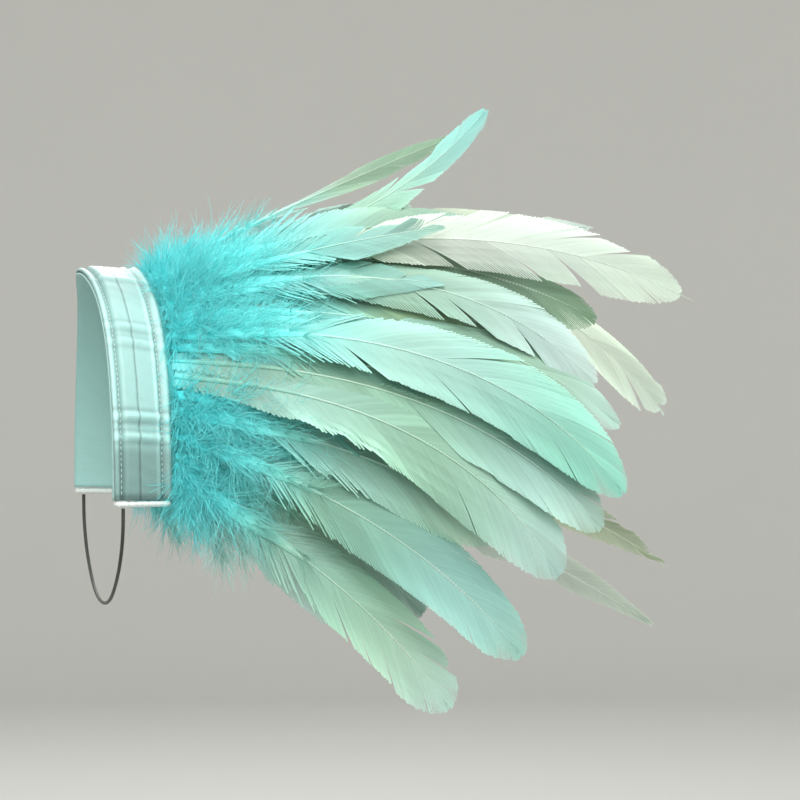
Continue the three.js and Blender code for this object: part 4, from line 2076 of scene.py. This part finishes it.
@dataclass
class FeatherFringe:
    """The feathers, their shafts and down, and the tape that they are sewn to."""

    stretches: tuple[Stretch, ...] = (
        Stretch("front", 0.0, 0.3, 226000.0),
        Stretch("top", 0.3, 0.6, 128000.0),
        Stretch("back", 0.6, 1.0, 158000.0),
    )
    seed: int = 7
    vane: Vane = Vane()
    quill: Shaft = Shaft()
    bed: DownBed = DownBed()
    wisps: Wisps = Wisps()
    tape_seats: Range = (0.006, 0.994)
    tape_across: Range = (-0.005, 0.0133)
    tape_steps: tuple[int, int] = (160, 8)
    tape_lift: float = 0.0014
    tape_thick: float = 0.0009

    def tape(self) -> Piece:
        """Makes the tape that the feathers are sewn to.

        Returns:
            The tape.
        """
        seats = np.linspace(*self.tape_seats, self.tape_steps[0])
        across = np.linspace(*self.tape_across, self.tape_steps[1])
        bottom = np.full(self.tape_steps, self.tape_lift)
        return cloth_strip("feather_tape", TAPE_CLOTH, seats, across, bottom + self.tape_thick, bottom)

    def settled(self, piece: Piece) -> Piece:
        """Sets a piece of the fringe on the body in place of its solid."""
        return settle(piece, "dyed_feather", "feather_fringe")

    def build(self) -> None:
        """Makes the whole fringe, stretch by stretch round the shoulder."""
        rng = np.random.default_rng(self.seed)
        tree = self.wisps.tree()
        shafts, all_beds = [], []
        for stretch in self.stretches:
            vanes, beds = [], []
            for feather in stretch.own(FEATHERS):
                path = ShaftPath(feather)
                vanes += [self.vane.barbs(feather, path, sign, rng) for sign in (1, -1)]
                shafts.append(self.quill.build(feather, path))
                beds.append(self.bed.build(feather, path, rng))
            beds += [self.bed.build(tuft, ShaftPath(tuft), rng) for tuft in stretch.own(TUFTS)]
            self.settled(MeshArrays.joined(vanes).piece(f"feather_vanes_{stretch.name}", VANE, False))
            all_beds.append(MeshArrays.joined(beds))
            bed = all_beds[-1].piece(f"down_wisps_{stretch.name}", DOWN_BED, True)
            values = self.wisps.values(stretch.wisps_per_area, self.seed)
            self.settled(realized(bed, tree, values))
        self.settled(MeshArrays.joined(all_beds).piece("down_bed", DOWN_BED, True))
        self.settled(MeshArrays.joined(shafts).piece("feather_shafts", SHAFT, True))
        self.settled(self.tape())


@dataclass
class UnderarmElastic:
    """The thin elastic that hangs from one hem to the other."""

    diameter: float = 0.0012
    x: float = -0.0015
    route: tuple[Range, ...] = (
        (-0.0561, -0.0761),
        (-0.056, -0.08),
        (-0.0552, -0.084),
        (-0.0525, -0.089),
        (-0.048, -0.094),
        (-0.042, -0.0985),
        (-0.034, -0.103),
        (-0.025, -0.1068),
        (-0.015, -0.1093),
        (-0.005, -0.1104),
        (0.005, -0.1104),
        (0.015, -0.1093),
        (0.025, -0.1068),
        (0.034, -0.103),
        (0.042, -0.0985),
        (0.048, -0.094),
        (0.0525, -0.089),
        (0.0552, -0.084),
        (0.056, -0.08),
        (0.0561, -0.0761),
    )

    def build(self) -> None:
        """Hangs the elastic along its route."""
        curve = bpy.data.curves.new("underarm_elastic_cord", "CURVE")
        curve.dimensions = "3D"
        curve.bevel_depth = 0.5 * self.diameter
        curve.bevel_resolution = 3
        curve.use_fill_caps = True
        spline = curve.splines.new("BEZIER")
        spline.bezier_points.add(len(self.route) - 1)
        for point, (y, z) in zip(spline.bezier_points, self.route):
            point.co = (self.x, y, z)
            point.handle_left_type = "AUTO"
            point.handle_right_type = "AUTO"
        curve.materials.append(ELASTIC.material())
        piece = new_object("underarm_elastic_cord", curve)
        settle(piece, "dark_elastic", "underarm_elastic")
        y, z = self.route[0]


@dataclass(frozen=True)
class AreaLight:
    """A soft light: where it stands, its size, its power and its colour."""

    name: str
    place: Place
    size: float
    power: float
    colour: Colour = (1.0, 1.0, 1.0)


@dataclass
class Studio:
    """Backdrop, lights and camera."""

    eye: Place = (-0.133, -1.1, -0.027)
    aim: Place = (0.102, 0.0, -0.042)
    lens: float = 146.0
    sensor: float = 36.0
    view_depth: float = 50.0
    floor: float = -0.42
    radius: float = 3.6
    cove: float = 1.0
    wall_height: float = 3.2
    turns: int = 96
    floor_rings: int = 5
    first_ring: float = 0.05
    cove_steps: int = 13
    ambient: float = 0.5
    air: Colour = (1.0, 0.995, 0.985)
    lights: tuple[AreaLight, ...] = (
        AreaLight("key_light", (-0.3, -0.8, 1.6), 1.2, 22.0, (1.0, 0.99, 0.975)),
        AreaLight("front_light", (-0.6, -2.1, 1.0), 1.1, 20.0),
        AreaLight("fill_light", (1.1, -1.6, 0.8), 1.0, 9.0, (0.97, 0.99, 1.0)),
        AreaLight("top_light", (0.2, 0.3, 1.6), 1.4, 9.0),
        AreaLight("back_light", (0.3, 1.7, 1.0), 1.1, 15.0),
    )

    def backdrop(self) -> None:
        """Makes a floor that curves up into a wall all round."""
        bend = np.linspace(0.0, 0.5 * math.pi, self.cove_steps)
        flat = self.radius - self.cove
        floor = np.linspace(self.first_ring, flat, self.floor_rings + 1)[:-1]
        radii = np.concatenate([floor, flat + self.cove * np.sin(bend), [self.radius]])
        rise = self.cove * (1.0 - np.cos(bend))
        heights = np.concatenate([np.zeros(self.floor_rings), rise, [self.wall_height]]) + self.floor
        radius, angle = grid(radii, circle(self.turns))
        height = np.broadcast_to(heights[:, None], radius.shape)
        points = np.stack([radius * np.cos(angle), radius * np.sin(angle), height], axis=-1)
        walls = tube_walls(len(radii), self.turns)[:, ::-1]
        faces = [list(range(self.turns)), *walls.tolist()]
        mesh = bpy.data.meshes.new("studio_backdrop")
        mesh.from_pydata(points.reshape(-1, 3).tolist(), [], faces)
        mesh.polygons.foreach_set("use_smooth", np.full(len(faces), True))
        mesh.materials.append(PLASTER.material())
        new_object("studio_backdrop", mesh)

    def light(self) -> None:
        """Sets the soft lights and an even world."""
        for item in self.lights:
            lamp = bpy.data.lights.new(item.name, "AREA")
            lamp.shape = "DISK"
            lamp.size = item.size
            lamp.energy = item.power
            lamp.color = item.colour
            holder = new_object(item.name, lamp)
            holder.location = item.place
            holder.rotation_euler = facing(item.place, self.aim)
        world = bpy.data.worlds.new("studio_air")
        world.use_nodes = True
        sky = world.node_tree.nodes["Background"]
        sky.inputs["Color"].default_value = (*self.air, 1.0)
        sky.inputs["Strength"].default_value = self.ambient
        bpy.context.scene.world = world

    def camera(self) -> None:
        """Sets the camera at the photograph's viewing angle."""
        data = bpy.data.cameras.new("studio_camera")
        data.lens = self.lens
        data.sensor_width = self.sensor
        data.clip_end = self.view_depth
        camera = new_object("studio_camera", data)
        camera.location = self.eye
        camera.rotation_euler = facing(self.eye, self.aim)
        bpy.context.scene.camera = camera
        bpy.context.scene.view_settings.view_transform = "Standard"

    def build(self) -> None:
        """Sets up the whole studio."""
        self.camera()
        self.backdrop()
        self.light()


def main() -> None:
    """Builds the studio and every sub-assembly in order."""
    logging.basicConfig(level=logging.INFO, format="%(name)s: %(message)s")
    Studio().build()
    UnderarmElastic().build()
    RibbonBand().build()
    FeatherFringe().build()


if __name__ == "__main__":
    main()
